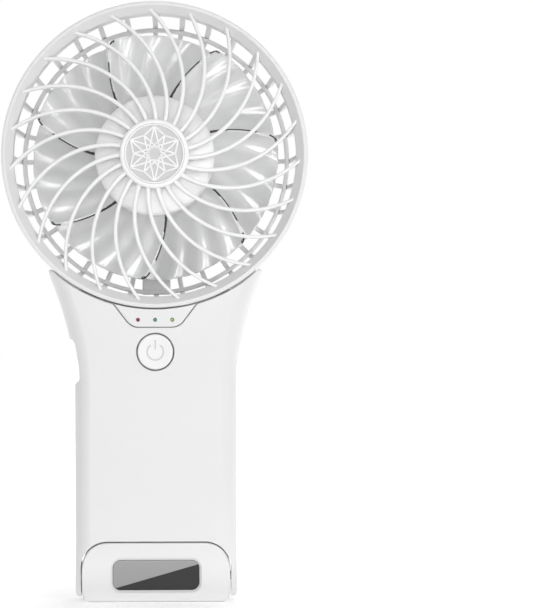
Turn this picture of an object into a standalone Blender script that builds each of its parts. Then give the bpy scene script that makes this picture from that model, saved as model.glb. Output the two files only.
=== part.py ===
# Handheld electric fan with a spiral grille and a flip cover that unfolds into a stand.
# Lengths are in metres. +Z is up, -Y is the front, and the origin is the centre of the foot's base.
# Most shapes are drawn as seen from the front: x to the right, y up, z towards the viewer.

import math

import bmesh
import bpy
from mathutils import Matrix
from mathutils import Vector

MM = 0.001

# Head: front ring and spiral grille. Depths run forward from the handle's middle plane.
HEAD_RADIUS = 50.0 * MM
HEAD_BASE = 96.2 * MM
RING_FRONT = 12.0 * MM
RING_DEPTH = 11.0 * MM
RING_SKIRT_WALL = 1.3 * MM
RING_LIP_WIDTH = 0.7 * MM
RING_FACE_WIDTH = 3.0 * MM
RING_FACE_DROP = 2.8 * MM
RING_FLANGE = 1.8 * MM
RIB_COUNT = 23
RIB_SWEEP = math.radians(35.5)
RIB_FIRST = math.radians(56.3)
RIB_CURL = 1.15
RIB_WIDTH_ROOT = 1.4 * MM
RIB_WIDTH_TIP = 1.1 * MM
RIB_DEPTH_ROOT = 4.4 * MM
RIB_DEPTH_TIP = 3.0 * MM
GRILLE_DOME = 5.0 * MM
GRILLE_HUB_RADIUS = 11.3 * MM
GRILLE_HUB_DEPTH = 5.8 * MM
GRILLE_HUB_EDGE = 0.5 * MM
CAP_RADIUS = 9.5 * MM
CAP_PLATE = 0.7 * MM
CAP_RIM = 0.6 * MM
CAP_RIM_WIDTH = 0.5 * MM
CAP_RIM_EDGE = 0.15 * MM

# Rear cage
BAR_COUNT = 32
BAR_WIDTH = 1.65 * MM
BAR_DEPTH = 2.5 * MM
BAR_TAPER = 1.6 * MM
BAR_SET_IN = 0.5 * MM
BAR_CORNER = 3.0 * MM
BAR_INNER_CORNER = 1.0 * MM
BAR_LAP = 1.5 * MM
CAGE_BAND_WALL = 1.6 * MM
CAGE_BAND_LAP = 6.0 * MM
CAGE_FLANGE = 2.7 * MM
CAGE_DEPTH = 39.0 * MM
REAR_RING_INSET = 4.4 * MM
REAR_RING_WALL = 1.5 * MM
REAR_RING_DEPTH = 2.5 * MM
REAR_RING_SETBACK = 2.5 * MM
REAR_RIB_DEPTH = 2.2 * MM
MOTOR_DISC_RADIUS = 15.5 * MM
MOTOR_DISC_DEPTH = 2.6 * MM
MOTOR_DISC_PROUD = 0.15 * MM
SADDLE_HALF_ANGLE = math.radians(28)
SADDLE_WALL = 2.9 * MM
CONDUIT_WIDTH = 9.6 * MM
CONDUIT_SET_IN = 0.4 * MM
CONDUIT_LAP = 2.0 * MM
TONGUE_WIDTH = 16.0 * MM
TONGUE_DEPTH = 3.3 * MM
TONGUE_LENGTH = 10.0 * MM

# Impeller and motor
BLADE_COUNT = 7
BLADE_FIRST = math.radians(10.2)
BLADE_TIP_GAP = 6.0 * MM
BLADE_SPAN = math.radians(56)
BLADE_LEAN = math.radians(14.4)
BLADE_FRONT = 4.6 * MM
BLADE_DEPTH = 16.8 * MM
BLADE_WALL = 1.1 * MM
BLADE_CORNER = 3.0 * MM
FLUTE_COUNT = 4
FLUTE_HEIGHT = 0.85 * MM
SPINNER_RADIUS = 19.7 * MM
SPINNER_FRONT = 8.5 * MM
SPINNER_DEPTH = 22.5 * MM
SPINNER_WALL = 1.5 * MM
SPINNER_ROUND = 2.4 * MM
SPINNER_CROWN = 0.5 * MM
SOCKET_WALL = 1.2 * MM
SOCKET_DEPTH = 8.0 * MM
HUB_BOSS_WALL = 1.7 * MM
HUB_BOSS_DEPTH = 1.7 * MM
BELL_RADIUS = 12.0 * MM
BELL_WALL = 1.0 * MM
BELL_DEPTH = 17.0 * MM
BELL_EDGE = 0.6 * MM
MAGNET_WALL = 1.1 * MM
MAGNET_SET_IN = 1.0 * MM
STATOR_TEETH = 9
STATOR_DEPTH = 10.0 * MM
STATOR_SET_IN = 4.0 * MM
TOOTH_ROOT_SHARE = 0.25
TOOTH_TIP_SHARE = 0.4
SHAFT_RADIUS = 1.0 * MM
SHAFT_REST = 2.0 * MM
BEARING_WALL = 1.0 * MM
BEARING_LENGTH = 3.0 * MM
BEARING_SET_IN = 1.0 * MM
TUBE_WALL = 1.0 * MM
TUBE_SHOULDER = 1.4 * MM
BOARD_THICKNESS = 1.2 * MM

# Handle and its screws
HANDLE_HALF_WIDTH = 24.4 * MM
HANDLE_FRONT = 8.9 * MM
HANDLE_BACK = -8.1 * MM
HANDLE_CORNER = 3.7 * MM
HANDLE_WALL = 1.8 * MM
HANDLE_SEAM = -3.5 * MM
NECK_WALL = 2.2 * MM
GUSSET_DROP = 22.2 * MM
GUSSET_RISE = 23.0 * MM
GUSSET_SETBACK = 0.5 * MM
GUSSET_HALF_WIDTH = 17.0 * MM
GUSSET_TAPER = 0.3
MIRROR_WIDTH = 32.0 * MM
MIRROR_CORNER = 5.0 * MM
MIRROR_THICKNESS = 0.7 * MM
MIRROR_BASE_MARGIN = 3.0 * MM
MIRROR_TOP_MARGIN = 2.7 * MM
SCREW_HEAD_RADIUS = 2.1 * MM
SCREW_HEAD_DEPTH = 1.4 * MM
SCREW_HEAD_EDGE = 0.4 * MM
SCREW_SHANK_RADIUS = 0.9 * MM
SCREW_LENGTH = 9.0 * MM
SCREW_POINT = 0.6 * MM
SCREW_RISE = 7.2 * MM
SCREW_INSET_LOW = 3.6 * MM
SCREW_INSET_HIGH = 3.8 * MM
SCREW_NECK = 3.0 * MM
BOSS_RADIUS = 2.6 * MM

# Foot
FOOT_HEIGHT = 19.5 * MM
FOOT_BACK = -5.6 * MM
FOOT_TOP_CORNER = 7.2 * MM
FOOT_BASE_CORNER = 2.5 * MM
PLUG_HEIGHT = 4.0 * MM
PLUG_ROOT = 4.0 * MM
BADGE_WIDTH = 28.2 * MM
BADGE_HEIGHT = 9.7 * MM
BADGE_CORNER = 2.5 * MM
BADGE_CENTRE = 8.9 * MM
BADGE_THICKNESS = 0.8 * MM

# Flip cover and its hinge
COVER_WALL = 1.8 * MM
COVER_CORNER = 5.5 * MM
FLARE_LENGTH = 36.6 * MM
FLARE_REACH = 9.0 * MM
FLARE_POWER = 1.75
EAR_RISE = 12.4 * MM
HINGE_HEIGHT = 8.0 * MM
HINGE_FORWARD = 3.0 * MM
PIN_RADIUS = 1.5 * MM
PIN_LENGTH = 9.0 * MM
PIN_SET_IN = 0.3 * MM
PORT_NOTCH_LENGTH = 15.6 * MM
PORT_NOTCH_SETBACK = 1.6 * MM
PORT_NOTCH_SLANT = 0.6 * MM
PORT_NOTCH_CORNER = 2.0 * MM

# Controls and electronics
ISLAND_TOP_WIDTH = 27.0 * MM
ISLAND_BASE_WIDTH = 18.4 * MM
ISLAND_DROP = 6.3 * MM
ISLAND_RISE = 7.0 * MM
ISLAND_CORNER = 4.5 * MM
ISLAND_PROUD = 2.0 * MM
LED_RISE = 2.4 * MM
LED_PITCH = 5.6 * MM
LED_RADIUS = 0.55 * MM
BUTTON_DROP = 14.4 * MM
BUTTON_RADIUS = 6.0 * MM
BUTTON_ROUND = 0.5 * MM
BUTTON_DISH = 0.3 * MM
BUTTON_FLANGE = 1.2 * MM
BUTTON_FLANGE_DEPTH = 1.0 * MM
BUTTON_SET_BACK = 0.3 * MM
BUTTON_TRAVEL = 0.6 * MM
SWITCH_SIDE = 6.0 * MM
SWITCH_DEPTH = 2.0 * MM
PLUNGER_RADIUS = 1.7 * MM
PLUNGER_HEIGHT = 0.5 * MM
MAIN_BOARD_LENGTH = 24.5 * MM
MAIN_BOARD_RIGHT = 16.0 * MM
MAIN_BOARD_GAP = 0.5 * MM
PORT_DROP = 17.4 * MM
PORT_LENGTH = 9.0 * MM
PORT_DEPTH = 3.2 * MM
PORT_ROUND = 0.95
PORT_REACH = 7.3 * MM
PORT_SET_IN = 0.4 * MM
PORT_WALL = 0.35 * MM
PORT_POCKET = 5.5 * MM
PORT_TONGUE_LENGTH = 6.6 * MM
PORT_TONGUE_DEPTH = 0.7 * MM
PORT_TONGUE_SET_IN = 1.0 * MM
PORT_RECESS_EDGE = 0.9 * MM
PORT_RECESS_DEPTH = 0.8 * MM
BATTERY_HALF_WIDTH = 17.0 * MM
BATTERY_CORNER = 2.0 * MM
BATTERY_RISE = 4.0 * MM
BATTERY_GAP = 3.0 * MM

# Clearances
SEAT_GAP = 0.3 * MM
HEAD_GAP = 0.4 * MM
COVER_HEAD_GAP = 0.5 * MM
COVER_LIP_GAP = 0.35 * MM
FOOT_SIDE_GAP = 0.4 * MM
BUTTON_GAP = 0.6 * MM
RUNNING_GAP = 0.15 * MM
AIR_GAP = 0.4 * MM
SWEEP_GAP = 0.35 * MM
PLUNGER_GAP = 0.3 * MM
SHAFT_END_GAP = 1.0 * MM

# How far joined shapes run into each other, and cutters past what they cut
JOIN_LAP = 0.5 * MM
OVERCUT = 2.0 * MM
THROUGH = 60.0 * MM

# Steps round curves
HEAD_STEPS = 64
CAGE_STEPS = 48
ROUND_STEPS = 22
MOTOR_STEPS = 18
PIN_STEPS = 16
SMALL_STEPS = 12
SWEEP_STEPS = 24
SWEEP_ROWS = 5
RIB_STEPS = 7
BLADE_ROWS = 3
FLUTE_STEPS = 3
FILLET_STEPS = 5
SMALL_FILLET_STEPS = 3
BAR_FILLET_STEPS = 2
FLARE_STEPS = 6
GUSSET_STEPS = 6
SADDLE_STEPS = 7

# Heights that follow from the sizes above
HEAD_HEIGHT = HEAD_BASE + HEAD_RADIUS
HANDLE_BASE = FOOT_HEIGHT + SEAT_GAP
CAVITY_TOP = HEAD_BASE - NECK_WALL
EAR_TOP = HEAD_BASE + EAR_RISE
FLARE_START = EAR_TOP - FLARE_LENGTH
GUSSET_START = HEAD_BASE - GUSSET_DROP
ISLAND_BASE = HEAD_BASE - ISLAND_DROP
LED_HEIGHT = ISLAND_BASE + LED_RISE
BUTTON_HEIGHT = HEAD_BASE - BUTTON_DROP
PORT_HEIGHT = HEAD_BASE - PORT_DROP
MAIN_BOARD_HIGH = CAVITY_TOP - MAIN_BOARD_GAP
MAIN_BOARD_LOW = MAIN_BOARD_HIGH - MAIN_BOARD_LENGTH
SCREW_LOW = HANDLE_BASE + SCREW_RISE
BATTERY_LOW = SCREW_LOW + BATTERY_RISE
BATTERY_HIGH = MAIN_BOARD_LOW - BATTERY_GAP
BUTTON_HOLE = BUTTON_RADIUS + SEAT_GAP
MIRROR_LOW = HANDLE_BASE + MIRROR_BASE_MARGIN
MIRROR_HIGH = BUTTON_HEIGHT - BUTTON_HOLE - MIRROR_TOP_MARGIN

# Head depths and radii
RING_BACK = RING_FRONT - RING_DEPTH
SKIRT_INNER = HEAD_RADIUS - RING_SKIRT_WALL
RING_INNER = HEAD_RADIUS - RING_LIP_WIDTH - RING_FACE_WIDTH
FACE_EDGE = RING_FRONT - RING_FACE_DROP
FLANGE_BACK = FACE_EDGE - RING_FLANGE
RIB_TIP_RADIUS = HEAD_RADIUS - RING_LIP_WIDTH - RING_FACE_WIDTH / 2
RIB_TIP_FRONT = RING_FRONT - RING_FACE_DROP / 2
HUB_FRONT = RIB_TIP_FRONT + GRILLE_DOME + CAP_RIM
HUB_FLOOR = HUB_FRONT - CAP_PLATE - CAP_RIM - SEAT_GAP
BAND_OUTER = SKIRT_INNER - SEAT_GAP
BAND_INNER = BAND_OUTER - CAGE_BAND_WALL
CAGE_FLANGE_FRONT = RING_BACK - SEAT_GAP
CAGE_FLANGE_REAR = CAGE_FLANGE_FRONT - CAGE_FLANGE
CAGE_REAR = RING_FRONT - CAGE_DEPTH
CAGE_INNER_REAR = CAGE_REAR + MOTOR_DISC_DEPTH
REAR_RING_RADIUS = HEAD_RADIUS - REAR_RING_INSET
REAR_RING_BACK = CAGE_REAR + REAR_RING_SETBACK
HEAD_CUT_RADIUS = HEAD_RADIUS + HEAD_GAP

# Impeller and motor depths and radii
BLADE_TIP_RADIUS = BAND_INNER - BLADE_TIP_GAP
FAN_BACK = SPINNER_FRONT - SPINNER_DEPTH
SPINNER_FLOOR = SPINNER_FRONT - SPINNER_WALL
SHAFT_BORE = SHAFT_RADIUS + SEAT_GAP
BELL_FRONT = SPINNER_FLOOR - HUB_BOSS_DEPTH - SEAT_GAP
BELL_BACK = BELL_FRONT - BELL_DEPTH
MAGNET_RADIUS = BELL_RADIUS - BELL_WALL - SEAT_GAP
STATOR_RADIUS = MAGNET_RADIUS - MAGNET_WALL - AIR_GAP
STATOR_FRONT = BELL_FRONT - BELL_WALL - STATOR_SET_IN
STATOR_BACK = STATOR_FRONT - STATOR_DEPTH
BEARING_RADIUS = SHAFT_BORE + BEARING_WALL
TUBE_BORE = BEARING_RADIUS + SEAT_GAP
TUBE_RADIUS = TUBE_BORE + TUBE_WALL
TUBE_FRONT = STATOR_FRONT + SEAT_GAP
SHOULDER_RADIUS = TUBE_RADIUS + TUBE_SHOULDER
SHAFT_BACK = CAGE_INNER_REAR + SHAFT_REST

# Handle, foot and cover
CAVITY_HALF_WIDTH = HANDLE_HALF_WIDTH - HANDLE_WALL
CAVITY_FRONT = HANDLE_FRONT - HANDLE_WALL
CAVITY_BACK = HANDLE_BACK + HANDLE_WALL
CAVITY_CORNER = HANDLE_CORNER - HANDLE_WALL
FRONT_SEAM = HANDLE_SEAM + SEAT_GAP / 2
REAR_SEAM = HANDLE_SEAM - SEAT_GAP / 2
TONGUE_FRONT = FRONT_SEAM + TONGUE_DEPTH
GUSSET_BACK = REAR_RING_BACK + GUSSET_SETBACK
COVER_FRONT = HANDLE_FRONT + SEAT_GAP + COVER_WALL
COVER_BACK = REAR_SEAM + COVER_LIP_GAP
COVER_INNER = HANDLE_HALF_WIDTH + SEAT_GAP
COVER_HALF_WIDTH = COVER_INNER + COVER_WALL
FOOT_HALF_WIDTH = COVER_INNER - FOOT_SIDE_GAP
ARCH_TOP = FOOT_HEIGHT + SEAT_GAP
ARCH_HALF_WIDTH = FOOT_HALF_WIDTH + SEAT_GAP
ARCH_CORNER = FOOT_TOP_CORNER + SEAT_GAP
LUG_RADIUS = HINGE_FORWARD - COVER_BACK
PORT_NOTCH_FRONT = COVER_FRONT - PORT_NOTCH_SETBACK
PORT_NOTCH_LOW = PORT_HEIGHT - PORT_NOTCH_LENGTH / 2
PORT_NOTCH_HIGH = PORT_HEIGHT + PORT_NOTCH_LENGTH / 2
SHELL_TOP = HEAD_HEIGHT - math.sqrt(HEAD_CUT_RADIUS ** 2 - COVER_HALF_WIDTH ** 2) + OVERCUT

# Button, switch, board and charging socket stand behind one another
FLANGE_FRONT = CAVITY_FRONT - SEAT_GAP
FLANGE_REAR = FLANGE_FRONT - BUTTON_FLANGE_DEPTH
SWITCH_FRONT = FLANGE_REAR - BUTTON_TRAVEL - PLUNGER_GAP
SWITCH_BODY_FRONT = SWITCH_FRONT - PLUNGER_HEIGHT
BOARD_FRONT = SWITCH_BODY_FRONT - SWITCH_DEPTH - SEAT_GAP
BOARD_BACK = BOARD_FRONT - BOARD_THICKNESS
PORT_FRONT = BOARD_BACK - SEAT_GAP
PORT_MIDDLE = PORT_FRONT - PORT_DEPTH / 2

# Screws: two in the handle's base, two in its neck under the head
SCREW_LOW_SIDE = CAVITY_HALF_WIDTH - SCREW_INSET_LOW
SCREW_HIGH_SIDE = HANDLE_HALF_WIDTH - SCREW_INSET_HIGH
SCREW_HIGH = HEAD_HEIGHT - math.sqrt(HEAD_CUT_RADIUS ** 2 - SCREW_HIGH_SIDE ** 2) - SCREW_NECK
SCREW_SEAT = HANDLE_BACK + SCREW_HEAD_DEPTH
SCREW_SPOTS = [(-SCREW_LOW_SIDE, SCREW_LOW), (SCREW_LOW_SIDE, SCREW_LOW),
               (-SCREW_HIGH_SIDE, SCREW_HIGH), (SCREW_HIGH_SIDE, SCREW_HIGH)]

# How an outline's two axes and its thickness map to right, up and forward
FRONT_VIEW = Matrix(((1, 0, 0), (0, 1, 0), (0, 0, 1)))
PLAN_VIEW = Matrix(((1, 0, 0), (0, 0, 1), (0, 1, 0)))
SIDE_VIEW = Matrix(((0, 0, 1), (0, 1, 0), (1, 0, 0)))


def clear_scene():
    for obj in list(bpy.data.objects):
        bpy.data.objects.remove(obj, do_unlink=True)


def make_frame(name, group, location):
    # An empty whose x is right, y is up and z is forward
    frame = bpy.data.objects.new(name, None)
    frame.empty_display_size = HEAD_RADIUS / 5
    frame.location = location
    frame.rotation_euler = (math.pi / 2, 0, 0)
    group.objects.link(frame)
    return frame


def make_finish(name, colour, roughness, metallic=0.0):
    finish = bpy.data.materials.new(name)
    finish.use_nodes = True
    shader = finish.node_tree.nodes["Principled BSDF"]
    shader.inputs["Base Color"].default_value = (*colour, 1.0)
    shader.inputs["Roughness"].default_value = roughness
    shader.inputs["Metallic"].default_value = metallic
    finish.diffuse_color = (*colour, 1.0)
    return finish


def clean_mesh(mesh):
    # Weld the seams and turn every face outwards
    work = bmesh.new()
    work.from_mesh(mesh)
    bmesh.ops.remove_doubles(work, verts=work.verts, dist=0.001 * MM)
    bmesh.ops.recalc_face_normals(work, faces=work.faces)
    work.to_mesh(mesh)
    work.free()
    mesh.shade_smooth()
    mesh.set_sharp_from_angle(angle=math.radians(30))
    return mesh


def bake(obj):
    # The evaluated shape of a helper object as a plain mesh; the helper goes
    bpy.context.scene.collection.objects.link(obj)
    depsgraph = bpy.context.evaluated_depsgraph_get()
    mesh = bpy.data.meshes.new_from_object(obj.evaluated_get(depsgraph))
    bpy.data.objects.remove(obj, do_unlink=True)
    return clean_mesh(mesh)


def fillet_outline(corners, steps=FILLET_STEPS):
    # Corners are (x, y, radius); each one with a radius becomes an arc
    outline = []
    count = len(corners)
    for index, (x, y, radius) in enumerate(corners):
        corner = Vector((x, y))
        if radius <= 0:
            outline.append((x, y))
            continue
        before = (Vector(corners[index - 1][:2]) - corner).normalized()
        after = (Vector(corners[(index + 1) % count][:2]) - corner).normalized()
        half = before.angle(after) / 2
        centre = corner + (before + after).normalized() * (radius / math.sin(half))
        start = corner + before * (radius / math.tan(half)) - centre
        end = corner + after * (radius / math.tan(half)) - centre
        turn = start.angle_signed(end)
        for step in range(steps + 1):
            angle = -turn * step / steps
            outline.append((centre.x + start.x * math.cos(angle) - start.y * math.sin(angle),
                            centre.y + start.x * math.sin(angle) + start.y * math.cos(angle)))
    return outline


def rounded_box(half_width, low, high, low_corner, high_corner, steps=FILLET_STEPS):
    # An upright box outline with one radius for its lower corners and one for its upper ones
    return fillet_outline([(-half_width, low, low_corner), (half_width, low, low_corner),
                           (half_width, high, high_corner), (-half_width, high, high_corner)], steps)


def arc_points(centre, radius, start, end, steps):
    return [(centre[0] + radius * math.cos(start + (end - start) * step / steps),
             centre[1] + radius * math.sin(start + (end - start) * step / steps))
            for step in range(steps + 1)]


def outline_mesh(points, low, high, view=FRONT_VIEW):
    # A flat outline with a thickness, from low to high along the view's own depth
    curve = bpy.data.curves.new("outline", "CURVE")
    curve.dimensions = "2D"
    curve.fill_mode = "BOTH"
    curve.extrude = (high - low) / 2
    spline = curve.splines.new("POLY")
    spline.points.add(len(points) - 1)
    for point, (x, y) in zip(spline.points, points):
        point.co = (x, y, 0, 1)
    spline.use_cyclic_u = True
    mesh = bake(bpy.data.objects.new("outline", curve))
    mesh.transform(Matrix.Translation((0, 0, (high + low) / 2)))
    mesh.transform(view.to_4x4())
    return clean_mesh(mesh)


def turned_mesh(profile, steps, ring=False, axis=FRONT_VIEW):
    # A profile of (radius, depth) turned about the depth axis
    mesh = bpy.data.meshes.new("profile")
    work = bmesh.new()
    points = [work.verts.new((radius, 0, depth)) for radius, depth in profile]
    for first, second in zip(points, points[1:]):
        work.edges.new((first, second))
    if ring:
        work.edges.new((points[-1], points[0]))
    work.to_mesh(mesh)
    work.free()
    obj = bpy.data.objects.new("profile", mesh)
    screw = obj.modifiers.new("turn", "SCREW")
    screw.steps = steps
    screw.render_steps = steps
    screw.use_merge_vertices = True
    screw.merge_threshold = 0.01 * MM
    turned = bake(obj)
    turned.transform(axis.to_4x4())
    return clean_mesh(turned)


def box_mesh(low, high):
    work = bmesh.new()
    bmesh.ops.create_cube(work, size=1.0)
    size = Vector(high) - Vector(low)
    bmesh.ops.scale(work, vec=size, verts=work.verts)
    bmesh.ops.translate(work, vec=(Vector(high) + Vector(low)) / 2, verts=work.verts)
    mesh = bpy.data.meshes.new("box")
    work.to_mesh(mesh)
    work.free()
    return clean_mesh(mesh)


def rod_mesh(radius, low, high, centre=(0, 0), steps=SMALL_STEPS, view=FRONT_VIEW):
    # A cylinder along the view's depth
    work = bmesh.new()
    bmesh.ops.create_cone(work, cap_ends=True, segments=steps, radius1=radius, radius2=radius,
                          depth=high - low)
    bmesh.ops.translate(work, vec=(centre[0], centre[1], (high + low) / 2), verts=work.verts)
    mesh = bpy.data.meshes.new("rod")
    work.to_mesh(mesh)
    work.free()
    mesh.transform(view.to_4x4())
    return clean_mesh(mesh)


clear_scene()
PARTS = bpy.data.collections.new("handheld_fan")
CUTTERS = bpy.data.collections.new("cutters")

BODY_FRAME = make_frame("body_frame", PARTS, (0, 0, 0))
HEAD_FRAME = make_frame("head_frame", PARTS, (0, 0, HEAD_HEIGHT))
FAN_AXIS = make_frame("fan_axis", PARTS, (0, 0, HEAD_HEIGHT))
COVER_HINGE = make_frame("cover_hinge", PARTS, (0, -HINGE_FORWARD, HINGE_HEIGHT))
BUTTON_AXIS = make_frame("button_axis", PARTS, (0, 0, BUTTON_HEIGHT))

WHITE_ABS = make_finish("white_abs", (0.84, 0.84, 0.84), 0.32)
FAN_ABS = make_finish("fan_abs", (0.76, 0.76, 0.76), 0.35)
BUTTON_ABS = make_finish("button_abs", (0.86, 0.86, 0.86), 0.38)
CAP_ABS = make_finish("cap_abs", (0.72, 0.72, 0.72), 0.3)
BADGE_GLOSS = make_finish("badge_gloss", (0.045, 0.045, 0.045), 0.12)
MIRROR_GLASS = make_finish("mirror_glass", (0.9, 0.9, 0.92), 0.02, 1.0)
STEEL = make_finish("steel", (0.6, 0.6, 0.6), 0.3, 1.0)
COPPER = make_finish("copper", (0.72, 0.36, 0.18), 0.35, 1.0)
MAGNET_GREY = make_finish("magnet_grey", (0.08, 0.08, 0.08), 0.6)
BRONZE = make_finish("bronze", (0.55, 0.4, 0.2), 0.4, 1.0)
BOARD_GREEN = make_finish("board_green", (0.03, 0.16, 0.07), 0.5)
SWITCH_BLACK = make_finish("switch_black", (0.05, 0.05, 0.05), 0.5)
CELL_FILM = make_finish("cell_film", (0.25, 0.4, 0.55), 0.4)
LED_RED = make_finish("led_red", (0.45, 0.02, 0.08), 0.25)
LED_BLUE = make_finish("led_blue", (0.1, 0.4, 0.5), 0.25)
LED_GREEN = make_finish("led_green", (0.3, 0.5, 0.06), 0.25)


def add_part(name, mesh, finish, frame):
    obj = bpy.data.objects.new(name, mesh)
    obj.data.materials.clear()
    obj.data.materials.append(finish)
    obj.parent = frame
    PARTS.objects.link(obj)
    return obj


def add_tool(name, mesh, frame, group=CUTTERS):
    obj = bpy.data.objects.new(name, mesh)
    obj.parent = frame
    obj.hide_render = True
    obj.display_type = "WIRE"
    group.objects.link(obj)
    return obj


def combine(target, operation, name, mesh, frame):
    # One Boolean step on a part, with its tool kept among the cutters
    step = target.modifiers.new(name, "BOOLEAN")
    step.operation = operation
    step.solver = "EXACT"
    step.object = add_tool(target.name + "." + name, mesh, frame)


def cut(target, name, mesh, frame):
    combine(target, "DIFFERENCE", name, mesh, frame)


def join(target, name, mesh, frame):
    combine(target, "UNION", name, mesh, frame)


def join_copies(target, name, mesh, frame, count, first=0.0):
    # Copies of one shape in a circle about the frame's depth axis, joined to the target
    group = bpy.data.collections.new(target.name + "." + name)
    CUTTERS.children.link(group)
    for index in range(count):
        tool = add_tool(f"{target.name}.{name}.{index + 1}", mesh, frame, group)
        tool.rotation_euler = (0, 0, first + 2 * math.pi * index / count)
    step = target.modifiers.new(name, "BOOLEAN")
    step.operation = "UNION"
    step.solver = "EXACT"
    step.operand_type = "COLLECTION"
    step.collection = group


def head_cutter(radius):
    # Room for the round head, as seen from the body frame
    low = CAGE_REAR - OVERCUT
    high = RING_FRONT + OVERCUT
    return rod_mesh(radius, low, high, (0, HEAD_HEIGHT), HEAD_STEPS)


def rib_mesh():
    # One grille rib: radial at the hub, then sweeping round as it runs out to the ring
    half_widths = []
    centres = []
    inner = GRILLE_HUB_RADIUS - RIB_WIDTH_ROOT
    outer = RIB_TIP_RADIUS + RING_LIP_WIDTH
    for step in range(RIB_STEPS + 1):
        share = step / RIB_STEPS
        radius = inner + (outer - inner) * share
        run = max(0.0, (radius - GRILLE_HUB_RADIUS) / (RIB_TIP_RADIUS - GRILLE_HUB_RADIUS))
        angle = RIB_SWEEP * run ** RIB_CURL
        centres.append(Vector((radius * math.cos(angle), radius * math.sin(angle))))
        half_widths.append((RIB_WIDTH_ROOT + (RIB_WIDTH_TIP - RIB_WIDTH_ROOT) * share) / 2)
    left = []
    right = []
    for step, centre in enumerate(centres):
        ahead = centres[min(step + 1, RIB_STEPS)] - centres[max(step - 1, 0)]
        side = Vector((-ahead.y, ahead.x)).normalized() * half_widths[step]
        left.append((centre.x + side.x, centre.y + side.y))
        right.append((centre.x - side.x, centre.y - side.y))
    mesh = outline_mesh(right + left[::-1], -RIB_DEPTH_TIP, RIB_DEPTH_TIP)
    for vertex in mesh.vertices:
        share = math.hypot(vertex.co.x, vertex.co.y) / RIB_TIP_RADIUS
        front = RIB_TIP_FRONT + GRILLE_DOME * (1 - share ** 2)
        depth = RIB_DEPTH_ROOT + (RIB_DEPTH_TIP - RIB_DEPTH_ROOT) * share
        vertex.co.z = front if vertex.co.z > 0 else front - depth
    return mesh


def build_front_grille():
    ring = turned_mesh([(HEAD_RADIUS - RING_LIP_WIDTH, RING_FRONT),
                        (HEAD_RADIUS, RING_FRONT - RING_LIP_WIDTH),
                        (HEAD_RADIUS, RING_BACK),
                        (SKIRT_INNER, RING_BACK),
                        (SKIRT_INNER, FLANGE_BACK),
                        (RING_INNER, FLANGE_BACK),
                        (RING_INNER, FACE_EDGE)], 2 * RIB_COUNT, ring=True)
    grille = add_part("front_grille", ring, WHITE_ABS, HEAD_FRAME)
    join_copies(grille, "rib", rib_mesh(), HEAD_FRAME, RIB_COUNT, RIB_FIRST)
    recess = CAP_RADIUS + SEAT_GAP
    hub_back = HUB_FRONT - GRILLE_HUB_DEPTH
    hub = turned_mesh([(0, HUB_FLOOR), (recess, HUB_FLOOR), (recess, HUB_FRONT),
                       (GRILLE_HUB_RADIUS - GRILLE_HUB_EDGE, HUB_FRONT),
                       (GRILLE_HUB_RADIUS, HUB_FRONT - GRILLE_HUB_EDGE),
                       (GRILLE_HUB_RADIUS, hub_back), (0, hub_back)], RIB_COUNT)
    join(grille, "hub", hub, HEAD_FRAME)


def build_hub_cap():
    back = HUB_FLOOR + SEAT_GAP
    plate = back + CAP_PLATE
    rim = plate + CAP_RIM
    rim_inner = CAP_RADIUS - CAP_RIM_WIDTH
    cap = turned_mesh([(0, plate), (rim_inner - CAP_RIM_EDGE, plate), (rim_inner, rim),
                       (CAP_RADIUS - CAP_RIM_EDGE, rim), (CAP_RADIUS, rim - CAP_RIM_EDGE),
                       (CAP_RADIUS, back), (0, back)], ROUND_STEPS)
    add_part("hub_cap", cap, CAP_ABS, HEAD_FRAME)


def bar_mesh():
    # One cage bar, drawn from the side: back along the drum, round the corner, in to the motor
    top = CAGE_FLANGE_FRONT - CAGE_FLANGE / 2
    outer_top = HEAD_RADIUS - BAR_SET_IN
    outer_rear = outer_top - BAR_TAPER
    hub_end = MOTOR_DISC_RADIUS - BAR_LAP
    rib_front = CAGE_REAR + REAR_RIB_DEPTH
    outline = fillet_outline([(outer_top, top, 0), (outer_rear, CAGE_REAR, BAR_CORNER),
                              (hub_end, CAGE_REAR, 0), (hub_end, rib_front, 0),
                              (outer_rear - BAR_DEPTH, rib_front, BAR_INNER_CORNER),
                              (outer_top - BAR_DEPTH, top, 0)], BAR_FILLET_STEPS)
    flat = outline_mesh(outline, -BAR_WIDTH / 2, BAR_WIDTH / 2, PLAN_VIEW)
    return clean_mesh(flat)


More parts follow.
